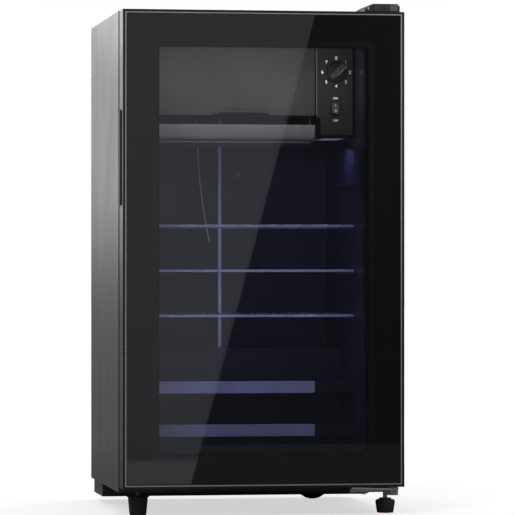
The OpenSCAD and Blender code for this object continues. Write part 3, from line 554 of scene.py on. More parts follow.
def finish(name):
    """The finish of a slot or detail, made once."""
    if name not in MADE_FINISHES:
        MADE_FINISHES[name] = FINISHES[name]()
    return MADE_FINISHES[name]


# ---- mesh work ----


def new_object(name, mesh):
    """An object in the scene that holds a mesh."""
    piece = bpy.data.objects.new(name, mesh)
    bpy.context.scene.collection.objects.link(piece)
    return piece


def settle(piece, kind, **settings):
    """Turns a new modifier of a piece into its mesh."""
    modifier = piece.modifiers.new("change", kind)
    for key, value in settings.items():
        setattr(modifier, key, value)
    return bake(piece)


def bake(piece):
    """Turns a piece's modifiers into its mesh."""
    scene_state = bpy.context.evaluated_depsgraph_get()
    mesh = bpy.data.meshes.new_from_object(
        piece.evaluated_get(scene_state), preserve_all_data_layers=True, depsgraph=scene_state)
    piece.modifiers.clear()
    old = piece.data
    piece.data = mesh
    if isinstance(old, bpy.types.Mesh):
        bpy.data.meshes.remove(old)
    mesh.name = piece.name
    return piece


def smoothed(mesh, sharp=35):
    """Shades a mesh smooth, except at edges sharper than an angle in degrees."""
    mesh.shade_smooth()
    mesh.set_sharp_from_angle(angle=math.radians(sharp))


def discard(piece):
    """Removes an object that only served to make others."""
    bpy.data.objects.remove(piece)


def mount(piece, finish_name, body, slot, *stands_for):
    """Gives a piece its finish and the body that carries it, and hides the nodes it stands for; the slot
    is not used.
    """
    piece.data.materials.clear()
    piece.data.materials.append(finish(finish_name))
    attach(piece, body)
    if stands_for:
        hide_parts(*stands_for)
    return piece


def solid(name, *makers, smooth=False):
    """A closed mesh object from functions that each add a shape to it."""
    work = bmesh.new()
    for maker in makers:
        maker(work)
    bmesh.ops.recalc_face_normals(work, faces=work.faces)
    mesh = bpy.data.meshes.new(name)
    work.to_mesh(mesh)
    work.free()
    if smooth:
        smoothed(mesh)
    return new_object(name, mesh)


def skin(work, rings, capped=True):
    """Joins closed rings of points into a tube, with its ends closed or joined up."""
    rows = [[work.verts.new(point) for point in ring] for ring in rings]
    pairs = list(zip(rows, rows[1:]))
    if not capped:
        pairs.append((rows[-1], rows[0]))
    for first, second in pairs:
        for k in range(len(first)):
            m = (k + 1) % len(first)
            work.faces.new((first[k], first[m], second[m], second[k]))
    if capped:
        work.faces.new(reversed(rows[0]))
        work.faces.new(rows[-1])


def block(low, high):
    """A box between two corners."""
    def make(work):
        corners = [(low[0], low[1]), (high[0], low[1]), (high[0], high[1]), (low[0], high[1])]
        skin(work, [[(x, y, z) for x, y in corners] for z in (low[2], high[2])])
    return make


def oblong(x0, x1, z0, z1):
    """The corners of an upright rectangle."""
    return [(x0, z0), (x1, z0), (x1, z1), (x0, z1)]


def slab(outline, near, far):
    """An outline of X and Z, thickened along Y."""
    def make(work):
        skin(work, [[(x, y, z) for x, z in outline] for y in (near, far)])
    return make


def plate(outline, low, high):
    """An outline of X and Y, thickened along Z."""
    def make(work):
        skin(work, [[(x, y, z) for x, y in outline] for z in (low, high)])
    return make


def circle(radius, steps, height=0.0):
    """Points round the Z axis."""
    angles = [math.tau * k / steps for k in range(steps)]
    return [Vector((radius * math.cos(a), radius * math.sin(a), height)) for a in angles]


def turned(profile, centre=(0, 0, 0), axis=(0, 0, 1), steps=64):
    """A turned shape: profile holds radius and height pairs, and starts and ends on the axis."""
    turn = Vector((0, 0, 1)).rotation_difference(Vector(axis)).to_matrix()

    def make(work):
        def ring(radius, height):
            points = circle(radius, steps, height)[:1 if radius < 1e-9 else steps]
            return [work.verts.new(turn @ point + Vector(centre)) for point in points]

        rows = [ring(*pair) for pair in profile]
        for first, second in zip(rows, rows[1:]):
            for k in range(steps):
                m = (k + 1) % steps
                corners = [
                    first[k % len(first)], first[m % len(first)],
                    second[m % len(second)], second[k % len(second)]]
                work.faces.new([c for i, c in enumerate(corners) if c not in corners[:i]])
    return make


def rounded_outline(low_x, high_x, low_z, high_z, radius, steps=5):
    """A rectangle with round corners, as points."""
    centres = [
        (high_x - radius, low_z + radius, -90), (high_x - radius, high_z - radius, 0),
        (low_x + radius, high_z - radius, 90), (low_x + radius, low_z + radius, 180),
    ]
    return [
        (x + radius * math.cos(math.radians(start + 90 * k / steps)),
         z + radius * math.sin(math.radians(start + 90 * k / steps)))
        for x, z, start in centres for k in range(steps + 1)
    ]


def picture_frame(profile, half_x, low_z, high_z):
    """A mitred frame in the XZ plane: profile holds inset and Y pairs round its section."""
    def make(work):
        corners = [(-1, low_z, 1), (1, low_z, 1), (1, high_z, -1), (-1, high_z, -1)]
        rings = [
            [(side * (half_x - inset), y, z + up * inset) for inset, y in profile]
            for side, z, up in corners]
        skin(work, rings, capped=False)
    return make


def softened(node, width, steps=2):
    """A copy of a frame node with its edges rounded."""
    work = bmesh.new()
    work.from_mesh(NODES[node].data)
    bmesh.ops.remove_doubles(work, verts=work.verts, dist=1e-6)
    bmesh.ops.dissolve_limit(work, angle_limit=math.radians(1), verts=work.verts, edges=work.edges)
    mesh = bpy.data.meshes.new(node + "_piece")
    work.to_mesh(mesh)
    work.free()
    imported_normals = mesh.attributes.get("custom_normal")
    if imported_normals:
        mesh.attributes.remove(imported_normals)
    mesh.shade_smooth()
    return settle(
        new_object(node + "_piece", mesh), "BEVEL", width=width * sizes().edge_round, segments=steps,
        limit_method="ANGLE", angle_limit=math.radians(40), harden_normals=True, use_clamp_overlap=True)


def mount_node(piece, node, finish_name=None):
    """Puts a piece in the place of a frame node, with the finish of the node's slot unless another is
    given, in the node's body.
    """
    slot = SLOT_OF[node]
    return mount(piece, finish_name or slot, NODES[node]["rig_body"], slot, node)


def soften_node(node, width, steps=2, finish_name=None):
    """Replaces a frame node with its rounded copy."""
    return mount_node(softened(node, width, steps), node, finish_name)


def joined(name, *pieces):
    """Several mesh objects as one."""
    work = bmesh.new()
    for piece in pieces:
        work.from_mesh(piece.data)
    mesh = bpy.data.meshes.new(name)
    work.to_mesh(mesh)
    work.free()
    smoothed(mesh)
    for piece in pieces:
        discard(piece)
    return new_object(name, mesh)


def outward(mesh):
    """Closes a mesh's seams and turns its faces outwards."""
    work = bmesh.new()
    work.from_mesh(mesh)
    bmesh.ops.remove_doubles(work, verts=work.verts, dist=1e-7)
    bmesh.ops.recalc_face_normals(work, faces=work.faces)
    work.to_mesh(mesh)
    work.free()
    return mesh


# ---- geometry nodes ----


class Growth:
    """A Geometry Nodes tree under construction."""

    def __init__(self, name, *sockets):
        self.tree = bpy.data.node_groups.new(name, "GeometryNodeTree")
        face = self.tree.interface
        face.new_socket("Geometry", in_out="INPUT", socket_type="NodeSocketGeometry")
        face.new_socket("Geometry", in_out="OUTPUT", socket_type="NodeSocketGeometry")
        for label, kind in sockets + (("Finish", "Material"),):
            face.new_socket(label, in_out="INPUT", socket_type="NodeSocket" + kind)
        self.inlet = self.tree.nodes.new("NodeGroupInput")
        self.outlet = self.tree.nodes.new("NodeGroupOutput")

    def add(self, kind, settings=None, **values):
        """A new node, with its settings, and its inputs linked or set."""
        node = self.tree.nodes.new(kind if kind.startswith("Shader") else "GeometryNode" + kind)
        for key, value in (settings or {}).items():
            setattr(node, key, value)
        for socket, value in values.items():
            plug(self.tree, node.inputs[socket.replace("_", " ")], value)
        return node

    def taken(self, label):
        """The tree's own input of that name."""
        return self.inlet.outputs[label]

    def sum(self, how, a, b):
        """Two values joined by arithmetic."""
        node = self.add("ShaderNodeMath", {"operation": how})
        for socket, value in zip(node.inputs, (a, b)):
            plug(self.tree, socket, value)
        return node.outputs[0]

    def copies(self, points, **values):
        """The pattern object at each point."""
        pattern = self.add("ObjectInfo", Object=self.taken("Pattern")).outputs["Geometry"]
        placed = self.add("InstanceOnPoints", Points=points, Instance=pattern, **values)
        return placed.outputs["Instances"]

    def close(self, geometry):
        """Ends the tree with real geometry in its finish."""
        real = self.add("RealizeInstances", Geometry=geometry)
        coated = self.add(
            "SetMaterial", Geometry=real.outputs["Geometry"], Material=self.taken("Finish"))
        self.tree.links.new(coated.outputs["Geometry"], self.outlet.inputs["Geometry"])
        return self.tree


def row_tree():
    """Copies a pattern along a straight row."""
    growth = Growth(
        "row", ("Pattern", "Object"), ("Count", "Int"), ("Start", "Vector"), ("Step", "Vector"))
    line = growth.add(
        "MeshLine", {"mode": "OFFSET"}, Count=growth.taken("Count"),
        Start_Location=growth.taken("Start"), Offset=growth.taken("Step"))
    return growth.close(growth.copies(line.outputs["Mesh"]))


def ring_tree():
    """Copies a pattern round the Z axis, then moves the whole ring."""
    growth = Growth("ring", ("Pattern", "Object"), ("Count", "Int"), ("Centre", "Vector"))
    line = growth.add("MeshLine", {"mode": "OFFSET"}, Count=growth.taken("Count"), Offset=(0, 0, 0))
    index = growth.add("InputIndex")
    share = growth.sum("DIVIDE", index.outputs[0], growth.taken("Count"))
    spin = growth.add("ShaderNodeCombineXYZ", Z=growth.sum("MULTIPLY", share, math.tau))
    copies = growth.copies(line.outputs["Mesh"], Rotation=spin.outputs[0])
    placed = growth.add("Transform", Geometry=copies, Translation=growth.taken("Centre"))
    return growth.close(placed.outputs["Geometry"])


def spots_tree():
    """Copies a pattern to each point of a mesh, all turned the same way."""
    growth = Growth("spots", ("Pattern", "Object"), ("Turn", "Rotation"))
    return growth.close(growth.copies(growth.taken("Geometry"), Rotation=growth.taken("Turn")))


def pipe_tree():
    """Makes a round tube along a chain of points, with its corners bent to a radius."""
    growth = Growth(
        "pipe", ("Diameter", "Float"), ("Bend", "Float"), ("Sides", "Int"), ("Bend Steps", "Int"))
    path = growth.add("MeshToCurve", Mesh=growth.taken("Geometry"))
    bent = growth.add(
        "FilletCurve", {"mode": "POLY"}, Curve=path.outputs["Curve"], Radius=growth.taken("Bend"),
        Limit_Radius=True, Count=growth.taken("Bend Steps"))
    section = growth.add(
        "CurvePrimitiveCircle", Resolution=growth.taken("Sides"),
        Radius=growth.sum("MULTIPLY", growth.taken("Diameter"), 0.5))
    tube = growth.add(
        "CurveToMesh", Curve=bent.outputs["Curve"], Profile_Curve=section.outputs["Curve"],
        Fill_Caps=True)
    return growth.close(tube.outputs["Mesh"])


MADE_TREES = {}


def grow(name, maker, start=None, keep_pattern=False, **values):
    """Runs a tree on a mesh and keeps the result as a plain mesh, without the tree's pattern."""
    if maker not in MADE_TREES:
        MADE_TREES[maker] = maker()
    tree = MADE_TREES[maker]
    values.setdefault("Finish", finish("zinc"))
    piece = new_object(name, start or bpy.data.meshes.new(name))
    modifier = piece.modifiers.new("grow", "NODES")
    modifier.node_group = tree
    for item in tree.interface.items_tree:
        if item.in_out == "INPUT" and item.name.replace(" ", "_") in values:
            modifier[item.identifier] = values[item.name.replace(" ", "_")]
    bake(piece)
    if not piece.data.polygons:
        raise RuntimeError(f"{name} grew nothing")
    outward(piece.data)
    smoothed(piece.data)
    if "Pattern" in values and not keep_pattern:
        discard(values["Pattern"])
    return piece


def chain(points):
    """A mesh of points joined one after another."""
    mesh = bpy.data.meshes.new("chain")
    links = [(k, k + 1) for k in range(len(points) - 1)]
    mesh.from_pydata([tuple(p) for p in points], links, [])
    return mesh


def spots(points):
    """A mesh of loose points."""
    mesh = bpy.data.meshes.new("spots")
    mesh.from_pydata([tuple(p) for p in points], [], [])
    return mesh


def pipe(name, points, diameter, bend, sides=12, bend_steps=6):
    """A bent tube through points."""
    return grow(
        name, pipe_tree, chain(points), Diameter=diameter, Bend=bend, Sides=sides, Bend_Steps=bend_steps)


def rod(name, first, last, diameter, sides=12):
    """A straight bar with rounded ends."""
    first, last = Vector(first), Vector(last)
    radius = diameter / 2
    length = (last - first).length
    round_end = [(radius * math.sin(a), radius * 0.5 * (1 - math.cos(a))) for a in (0, 0.6, 1.1)]
    profile = round_end + [(radius, radius * 0.5), (radius, length - radius * 0.5)]
    profile += [(r, length - h) for r, h in reversed(round_end)]
    return solid(name, turned(profile, first, (last - first).normalized(), sides), smooth=True)


def lettering(name, words, height, centre):
    """Flat text that faces the front, centred on a point."""
    curve = bpy.data.curves.new(name, "FONT")
    curve.body = words
    curve.size = height / 0.7
    curve.extrude = 0.00005
    curve.offset = height * 0.012
    curve.align_x = "CENTER"
    curve.align_y = "CENTER"
    curve.resolution_u = 3
    piece = new_object(name, curve)
    scene_state = bpy.context.evaluated_depsgraph_get()
    mesh = bpy.data.meshes.new_from_object(piece.evaluated_get(scene_state))
    bpy.data.objects.remove(piece)
    mesh.transform(Matrix.Translation(Vector(centre)) @ Matrix.Rotation(math.radians(90), 4, "X"))
    return new_object(name, outward(mesh))


# ---- patterns and frame copies ----


def loose_parts(node):
    """The lowest and highest corner of each separate solid in a frame node."""
    work = bmesh.new()
    work.from_mesh(NODES[node].data)
    bmesh.ops.remove_doubles(work, verts=work.verts, dist=1e-6)
    left = set(work.verts)
    parts = []
    while left:
        island, edge = set(), {next(iter(left))}
        while edge:
            island |= edge
            edge = {other for v in edge for link in v.link_edges for other in link.verts} - island
        left -= island
        spans = [[vertex.co[axis] for vertex in island] for axis in range(3)]
        parts.append(tuple(Vector([pick(span) for span in spans]) for pick in (min, max)))
    work.free()
    return sorted(parts, key=lambda part: tuple(part[0]))


def round_node(node, finish_name):
    """Replaces a frame node's faceted tubes with round ones."""
    piece = softened(node, 0.00001, 1)
    settle(piece, "SUBSURF", levels=1, render_levels=1)
    return mount_node(piece, node, finish_name)


def cross_screw(head, height, shank, depth):
    """A pan-head screw with a cross recess, upright, its head above the origin."""
    r = head / 2
    screw = solid("screw", turned([
        (0, -depth), (shank / 2 - 0.0003, -depth), (shank / 2, -depth + 0.0003), (shank / 2, 0),
        (r - 0.0003, 0), (r, 0.0003), (r * 0.97, height * 0.45), (r * 0.80, height * 0.80),
        (r * 0.52, height * 0.97), (0, height),
    ], steps=28))
    slot, reach, bottom = head * 0.055, head * 0.28, height * 0.45
    cross = [
        (slot, slot), (slot, reach), (-slot, reach), (-slot, slot), (-reach, slot), (-reach, -slot),
        (-slot, -slot), (-slot, -reach), (slot, -reach), (slot, -slot), (reach, -slot), (reach, slot),
    ]
    cutter = solid("cutter", plate(cross, bottom, height * 1.5))
    settle(screw, "BOOLEAN", object=cutter, solver="EXACT")
    discard(cutter)
    smoothed(screw.data, 30)
    return screw


def hexagon_screw(height, shank, depth):
    """A hexagon screw with a flange, upright, its head above the origin."""
    across = 0.0041

    def head(work):
        rows = ((across, 0.0008), (across, height - 0.0005), (across * 0.86, height))
        skin(work, [circle(radius, 6, z) for radius, z in rows])

    flange = turned([
        (0, -depth), (shank / 2, -depth), (shank / 2, 0), (0.0049, 0), (0.0050, 0.0005),
        (0.0042, 0.0012), (0, 0.0012),
    ], steps=28)
    return solid("screw", head, flange, smooth=True)


# ---- operators ----


DONE = {"FINISHED"}


class FRIDGE_OT_stage(bpy.types.Operator):
    """Set up the camera, floor, lights and surroundings"""

    bl_idname = "fridge.stage"
    bl_label = "Stage"

    # Height and brightness of the panel that the left side reflects
    side_levels = (
        (0, 0.050), (0.028, 0.055), (0.035, 0.08), (0.043, 0.062), (0.054, 0.10), (0.066, 0.062),
        (0.286, 0.080), (0.365, 0.115), (0.444, 0.212), (0.523, 0.296), (0.602, 0.323), (0.74, 0.305),
        (0.80, 0.350), (0.84, 0.485), (0.88, 0.565), (1.6, 0.6),
    )

    def execute(self, context):
        self.camera()
        self.surroundings()
        self.floor()
        self.reflections()
        self.lights()
        return DONE

    def camera(self):
        """The camera, level and far away."""
        data = bpy.data.cameras.new("camera")
        data.sensor_width = SENSOR
        data.lens = studio().lens
        eye = new_object("camera", data)
        eye.location = studio().eye
        eye.rotation_euler = (math.radians(90) + studio().tilt, 0, -studio().turn)
        bpy.context.scene.camera = eye
        bpy.context.scene.view_settings.view_transform = "Standard"

    def surroundings(self):
        """A white backdrop that gives off only a dim light."""
        world = bpy.data.worlds.new("room")
        world.use_nodes = True
        bpy.context.scene.world = world
        tree = world.node_tree
        backdrop = tree.nodes["Background"]
        backdrop.inputs["Color"].default_value = (1, 1, 1, 1)
        ray = tree.nodes.new("ShaderNodeLightPath")
        strength = tree.nodes.new("ShaderNodeMapRange")
        strength.inputs["To Min"].default_value = studio().world
        strength.inputs["To Max"].default_value = 1.0
        tree.links.new(ray.outputs["Is Camera Ray"], strength.inputs["Value"])
        tree.links.new(strength.outputs["Result"], backdrop.inputs["Strength"])

    def floor(self):
        """A wide pale floor that fades into the backdrop: it glows, more with distance from the fridge,
        which is painted light, and reflections see it darker than the camera does.
        """
        reach = 30
        ground = solid("floor", block((-reach, -reach, -0.02), (reach, reach, 0)))
        recipe = Recipe("pale_floor", Roughness=0.75)
        ray = recipe.add("ShaderNodeLightPath").outputs["Is Camera Ray"]
        recipe.colour(recipe.mix(ray, (0.22, 0.22, 0.22, 1), (0.9, 0.9, 0.9, 1)))
        recipe.shader.inputs["Emission Color"].default_value = (1, 1, 1, 1)
        # The floor's glow grows with distance from the fridge: painted light.
        away = recipe.feed(recipe.add("ShaderNodeVectorMath", operation="LENGTH"), Vector=recipe.place)
        floor_glow = recipe.spread(away.outputs["Value"], 0.62, 1.0, 0.6, 2.4)
        recipe.feed(recipe.shader, Emission_Strength=recipe.sum(floor_glow, ray, "MULTIPLY"))
        ground.data.materials.append(recipe.material)

    def card(self, name, outline, y, levels, power, tint=(1, 1, 1)):
        """A glowing panel that only reflections see; levels holds height and brightness pairs."""
        panel = solid(name, slab(outline, y - 0.002, y))
        recipe = Recipe(name + "_glow")
        apart = recipe.feed(recipe.add("ShaderNodeSeparateXYZ"), Vector=recipe.place)
        top = levels[-1][0]
        brightest = max(level for _, level in levels)
        rise = recipe.sum(apart.outputs["Z"], 1 / top, "MULTIPLY")
        ramp = recipe.feed(recipe.add("ShaderNodeValToRGB"), Fac=rise)
        stops = ramp.color_ramp.elements
        stops.remove(stops[1])
        for k, (height, level) in enumerate(levels):
            stop = stops[0] if k == 0 else stops.new(height / top)
            stop.position = height / top
            stop.color = (level / brightest,) * 3 + (1,)
        glow = recipe.add("ShaderNodeEmission")
        glow.inputs["Color"].default_value = tuple(tint) + (1,)
        recipe.feed(glow, Strength=recipe.sum(ramp.outputs["Color"], brightest * power, "MULTIPLY"))
        panel.data.materials.append(recipe.surface(glow))
        for ray in ("camera", "diffuse", "transmission", "volume_scatter", "shadow"):
            setattr(panel, "visible_" + ray, False)

    def reflections(self):
        """Panels that the glass and the left side reflect."""
        low = 0.002
        self.card(
            "glare_panel", [(-1.3, low), (-0.0053, low), (0.2201, 0.8463), (0.31, 1.2), (-1.3, 1.2)],
            -1.04, ((0, 1.4), (0.044, 1.4), (0.047, 0.85), (0.35, 0.95), (1.2, 1.08)), studio().glare,
            (0.93, 0.95, 1.0))
        self.card(
            "dim_panel", oblong(-3, 3, low, 2.4), -2.4,
            ((0, 0.05), (0.4, 0.05), (0.9, 0.065), (2.4, 0.07)), 1, (0.9, 0.93, 1.0))
        self.card("side_panel", oblong(-2.4, 0.1, low, 1.6), 1.2, self.side_levels, studio().side)
        for name, x0, x1, share in (("left_card", -2.6, -1.5, 0.6), ("right_card", 0.95, 2.2, 1.6)):
            levels = ((0, 0.1), (0.4, 0.3), (0.9, 1.6), (1.9, 1.8))
            self.card(name, oblong(x0, x1, 0.3, 1.9), -1.7, levels, share)
        self.card(
            "trim_card", oblong(0.39, 0.93, 0.40, 1.3), -1.04, ((0, 0.5), (0.6, 0.9), (1.3, 1.0)), 1)

    def light(self, name, place, aim, width, height, power, colour=(1, 1, 1)):
        """A soft rectangular light that looks at a point and doesn't show in reflections."""
        data = bpy.data.lights.new(name, "AREA")
        data.shape = "RECTANGLE"
        data.size = width
        data.size_y = height
        data.energy = power
        data.color = colour
        lamp = new_object(name, data)
        lamp.location = place
        lamp.rotation_euler = (Vector(aim) - Vector(place)).to_track_quat("-Z", "Y").to_euler()
        lamp.visible_glossy = False
        lamp.visible_camera = False
        return lamp

    def lights(self):
        """Softboxes round the fridge, the lamp inside and the fill light behind the door."""
        key, lamp = studio().key, studio().lamp
        self.light("front_softbox", (-1.6, -3.0, 2.6), (0, 0, 0.4), 1.8, 1.8, key)
        self.light("right_softbox", (2.6, -1.6, 1.8), (0, 0, 0.4), 1.6, 1.6, key * 0.3)
        self.light("top_softbox", (0.3, 0.8, 2.6), (0, 0, 0.4), 1.8, 1.8, key * 0.5)
        below = middle(LAMP_LOW, LAMP_HIGH) - Vector((0, 0, 0.012))
        self.light("cabinet_lamp", below, (0.05, 0.02, 0.1), 0.05, 0.1, lamp, colours().lamp)
        inside = GASKET_HIGH.y + 0.012
        self.light(
            "freezer_fill", (-0.01, inside, 0.685), (-0.01, 0, 0.685), 0.33, 0.09,
            studio().freezer_fill, (1.0, 0.98, 0.95))
        self.light(
            "shelf_fill", (0, inside, 0.30), (0, 0, 0.28), 0.33, 0.36,
            studio().shelf_fill, colours().lamp)


class FRIDGE_OT_finishes(bpy.types.Operator):
    """Give every node of the frame its finish"""

    bl_idname = "fridge.finishes"
    bl_label = "Finishes"

    def execute(self, context):
        for name, node in NODES.items():
            node.data.materials.clear()
            node.data.materials.append(finish(SLOT_OF[name]))
        return DONE


class FRIDGE_OT_cabinet(bpy.types.Operator):
    """Round the steel shell's edges and make the panels, liner, foam and blanking plugs"""

    bl_idname = "fridge.cabinet"
    bl_label = "Cabinet"

    def execute(self, context):
        shell = softened("outer_shell", 0.0006, 3)
        left, right = SHELL_LOW.x + LABEL_THICKNESS, SHELL_HIGH.x - LABEL_THICKNESS
        for corner in shell.data.vertices:
            corner.co.x = max(left, min(right, corner.co.x))
        mount_node(shell, "outer_shell")
        # The folded front edge facing the door gets a near-black finish: painted shade for the gap
        # between the cabinet and the door.
        shell.data.materials.append(finish("fold"))
        facing_front, fold_depth = -0.6, 0.003
        for face in shell.data.polygons:
            if face.normal.y < facing_front and face.center.y < SHELL_LOW.y + fold_depth:
                face.material_index = 1
        for node in ("bottom_pan", "base_plate"):
            soften_node(node, 0.0003)
        soften_node("inner_liner", 0.0012, 3)
        channel = softened("drain_channel", 0.0006)
        centre = (CHANNEL_LOW.x + CHANNEL_HIGH.x) / 2
        for corner in channel.data.vertices:
            corner.co.x = centre + (corner.co.x - centre) * CHANNEL_SHARE
        mount_node(channel, "drain_channel", "sleeve")
        soften_node("insulation_foam", 0.0008)
        soften_node("hinge_hole_plugs", 0.0005)
        return DONE


class FRIDGE_OT_label(bpy.types.Operator):
    """Stick a blank label and a small blank tag on the left side"""

    bl_idname = "fridge.label"
    bl_label = "Blank label"

    def execute(self, context):
        width, height = sizes().label
        rear, top = SHELL_HIGH.y - 0.0025, SHELL_HIGH.z - 0.0025
        outside = SHELL_LOW.x

        def sheet(y0, y1, z0, z1):
            outline = rounded_outline(y0, y1, z0, z1, 0.0015, 3)

            def make(work):
                faces = (outside, outside + LABEL_THICKNESS)
                skin(work, [[(x, y, z) for y, z in outline] for x in faces])
            return make

        for name, share, highest, lowest in (("blank_label", 1, 0, 1), ("blank_tag", 0.24, 1.06, 1.19)):
            part = sheet(rear - width * share, rear, top - height * lowest, top - height * highest)
            mount(solid(name, part), "paper", "cabinet", "white_plastic")
        return DONE


class FRIDGE_OT_door(bpy.types.Operator):
    """Make the door's frame, trim, glass unit and the black print behind its glass"""

    bl_idname = "fridge.door"
    bl_label = "Door"

    def execute(self, context):
        soften_node("door_frame", 0.0004, 2)
        soften_node("door_trim", 0.0005, 3)
        self.glaze("outer_glass", -1)
        self.glaze("inner_glass", 1)
        soften_node("glass_spacer", 0.0003)
        soften_node("hinge_bushes", 0.0003)
        edge = 0.0009
        near = PANE_HIGH.y + 0.00004
        far = near + sizes().print_gap
        outer = (PANE_LOW.x + edge, PANE_HIGH.x - edge, PANE_LOW.z + edge, PANE_HIGH.z - edge)

        def corners(x0, x1, z0, z1, y):
            return [(x, y, z) for x, z in oblong(x0, x1, z0, z1)]

        def ring(work):
            rings = ((outer, near), (outer, far), (WINDOW, far), (WINDOW, near))
            skin(work, [corners(*sides, y) for sides, y in rings], capped=False)

        mount(solid("glass_print", ring), "print", "door", "door_black")
        return DONE

    def glaze(self, node, side):
        """A pane with rounded edges that reflects on its outer side only."""
        sheet = soften_node(node, 0.0005)
        sheet.data.materials.append(finish("coated_side"))
        for face in sheet.data.polygons:
            face.material_index = 0 if face.normal.y * side > 0.3 else 1


class FRIDGE_OT_gasket(bpy.types.Operator):
    """Make the magnetic door seal with its bellows"""

    bl_idname = "fridge.gasket"
    bl_label = "Door seal"

    # Inset from the outer edge and distance from the door, in thousandths
    section = (
        (6.2, 0), (11.8, 0), (11.8, 1.4), (16.2, 2.2), (17.6, 3.8), (14.6, 5.0), (17.8, 6.6),
        (18.0, 8.0), (18.0, 12.6), (17.0, 13.6), (1.0, 13.6), (0, 12.6), (0, 8.0), (0.4, 6.8),
        (3.4, 5.4), (0.8, 3.8), (2.6, 2.4), (6.2, 1.4),
    )

    def execute(self, context):
        profile = [(inset / 1000, GASKET_LOW.y + depth / 1000) for inset, depth in self.section]
        seal = solid(
            "door_seal", picture_frame(profile, GASKET_HIGH.x, GASKET_LOW.z, GASKET_HIGH.z), smooth=True)
        mount_node(seal, "gasket")
        return DONE


class FRIDGE_OT_handle(bpy.types.Operator):
    """Line the finger recess in the door's edge with a ribbed insert"""

    bl_idname = "fridge.handle"
    bl_label = "Finger recess"

    def execute(self, context):
        insert = softened("handle_insert", 0.0004)
        low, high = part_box("handle_insert")
        ridge = solid("ridge", block((0, 0, 0), (0.0011, high.y - low.y - 0.008, 0.0016)))
        settle(ridge, "BEVEL", width=0.0005)
        count = 14
        start = low + Vector((0, 0.004, 0.022))
        start.x = high.x - 0.0025
        step = (high.z - low.z - 0.044) / (count - 1)
        ridges = grow("ridges", row_tree, Pattern=ridge, Count=count, Start=start, Step=(0, 0, step))
        mount(
            joined("handle_recess", insert, ridges), "black_plastic", "door", "dark_plastic",
            "handle_insert")
        return DONE


class FRIDGE_OT_hinges(bpy.types.Operator):
    """Make the hinges, their pins, cover and screws"""

    bl_idname = "fridge.hinges"
    bl_label = "Hinges"

    def execute(self, context):
        for node in ("top_hinge", "bottom_hinge"):
            soften_node(node, 0.0006)
        soften_node("bottom_hinge_pin", 0.0005)
        soften_node("hinge_washer", 0.0004)
        self.cover()
        self.top_screws()
        self.bottom_screws()
        self.cover_screw()
        return DONE

    def top_screws(self):
        """Pan-head screws that hold the top hinge."""
        parts = loose_parts("top_hinge_screws")
        low, high = parts[0]
        pattern = cross_screw(high.x - low.x, SCREW_HEAD, 0.0048, high.z - low.z - SCREW_HEAD)
        heads = [middle(*part) for part in parts]
        for head in heads:
            head.z = high.z - SCREW_HEAD
        screws = grow("hinge_screws_top", spots_tree, spots(heads), Pattern=pattern, Turn=(0, 0, 0.4))
        mount_node(screws, "top_hinge_screws")

    def bottom_screws(self):
        """Hexagon screws with a flange that hold the bottom hinge from below."""
        parts = loose_parts("bottom_hinge_screws")
        low, high = parts[0]
        pattern = hexagon_screw(FLANGE_HEAD, 0.0050, high.z - low.z - FLANGE_HEAD)
        places = [Vector(((a.x + b.x) / 2, (a.y + b.y) / 2, a.z + FLANGE_HEAD)) for a, b in parts]
        screws = grow(
            "hinge_screws_bottom", spots_tree, spots(places), Pattern=pattern, Turn=(math.pi, 0, 0.3))
        mount_node(screws, "bottom_hinge_screws")

    def cover(self):
        """The hinge cover: its wing is drawn in, and a paler end and a thin pale line are added; the
        paler end is a painted highlight.
        """
        low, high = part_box("top_hinge_cover")
        cap = softened("top_hinge_cover", 0.0009, 3)
        wing, drawn_in = 0.020, 0.0105
        for corner in cap.data.vertices:
            if corner.co.x < low.x + wing:
                corner.co.x += drawn_in
        mount_node(cap, "top_hinge_cover")
        front, right = low.y, high.x
        # Pale strips at the cover's right end: the wider one is a painted highlight on the cover's end.
        details = [
            block((right - left_end, front - 0.0004, low.z + 0.0012),
                  (right - right_end, front + 0.0004, high.z - 0.0010))
            for left_end, right_end in ((0.0158, 0.0034), (0.0356, 0.0347))]
        mount(solid("cover_end", *details), "bar_plastic", "cabinet", "dark_plastic")

    def cover_screw(self):
        """The small screw in the sloped wing of the hinge cover."""
        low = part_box("top_hinge_cover")[0]
        pattern = cross_screw(0.0062, 0.0014, 0.003, 0.001)
        place = Vector((low.x + 0.0167, low.y + 0.0006, low.z + 0.0046))
        screw = grow(
            "cover_screw", spots_tree, spots([place]), Pattern=pattern, Turn=(FACING_FRONT, 0, 0.5))
        mount(screw, "zinc", "cabinet", "zinc")


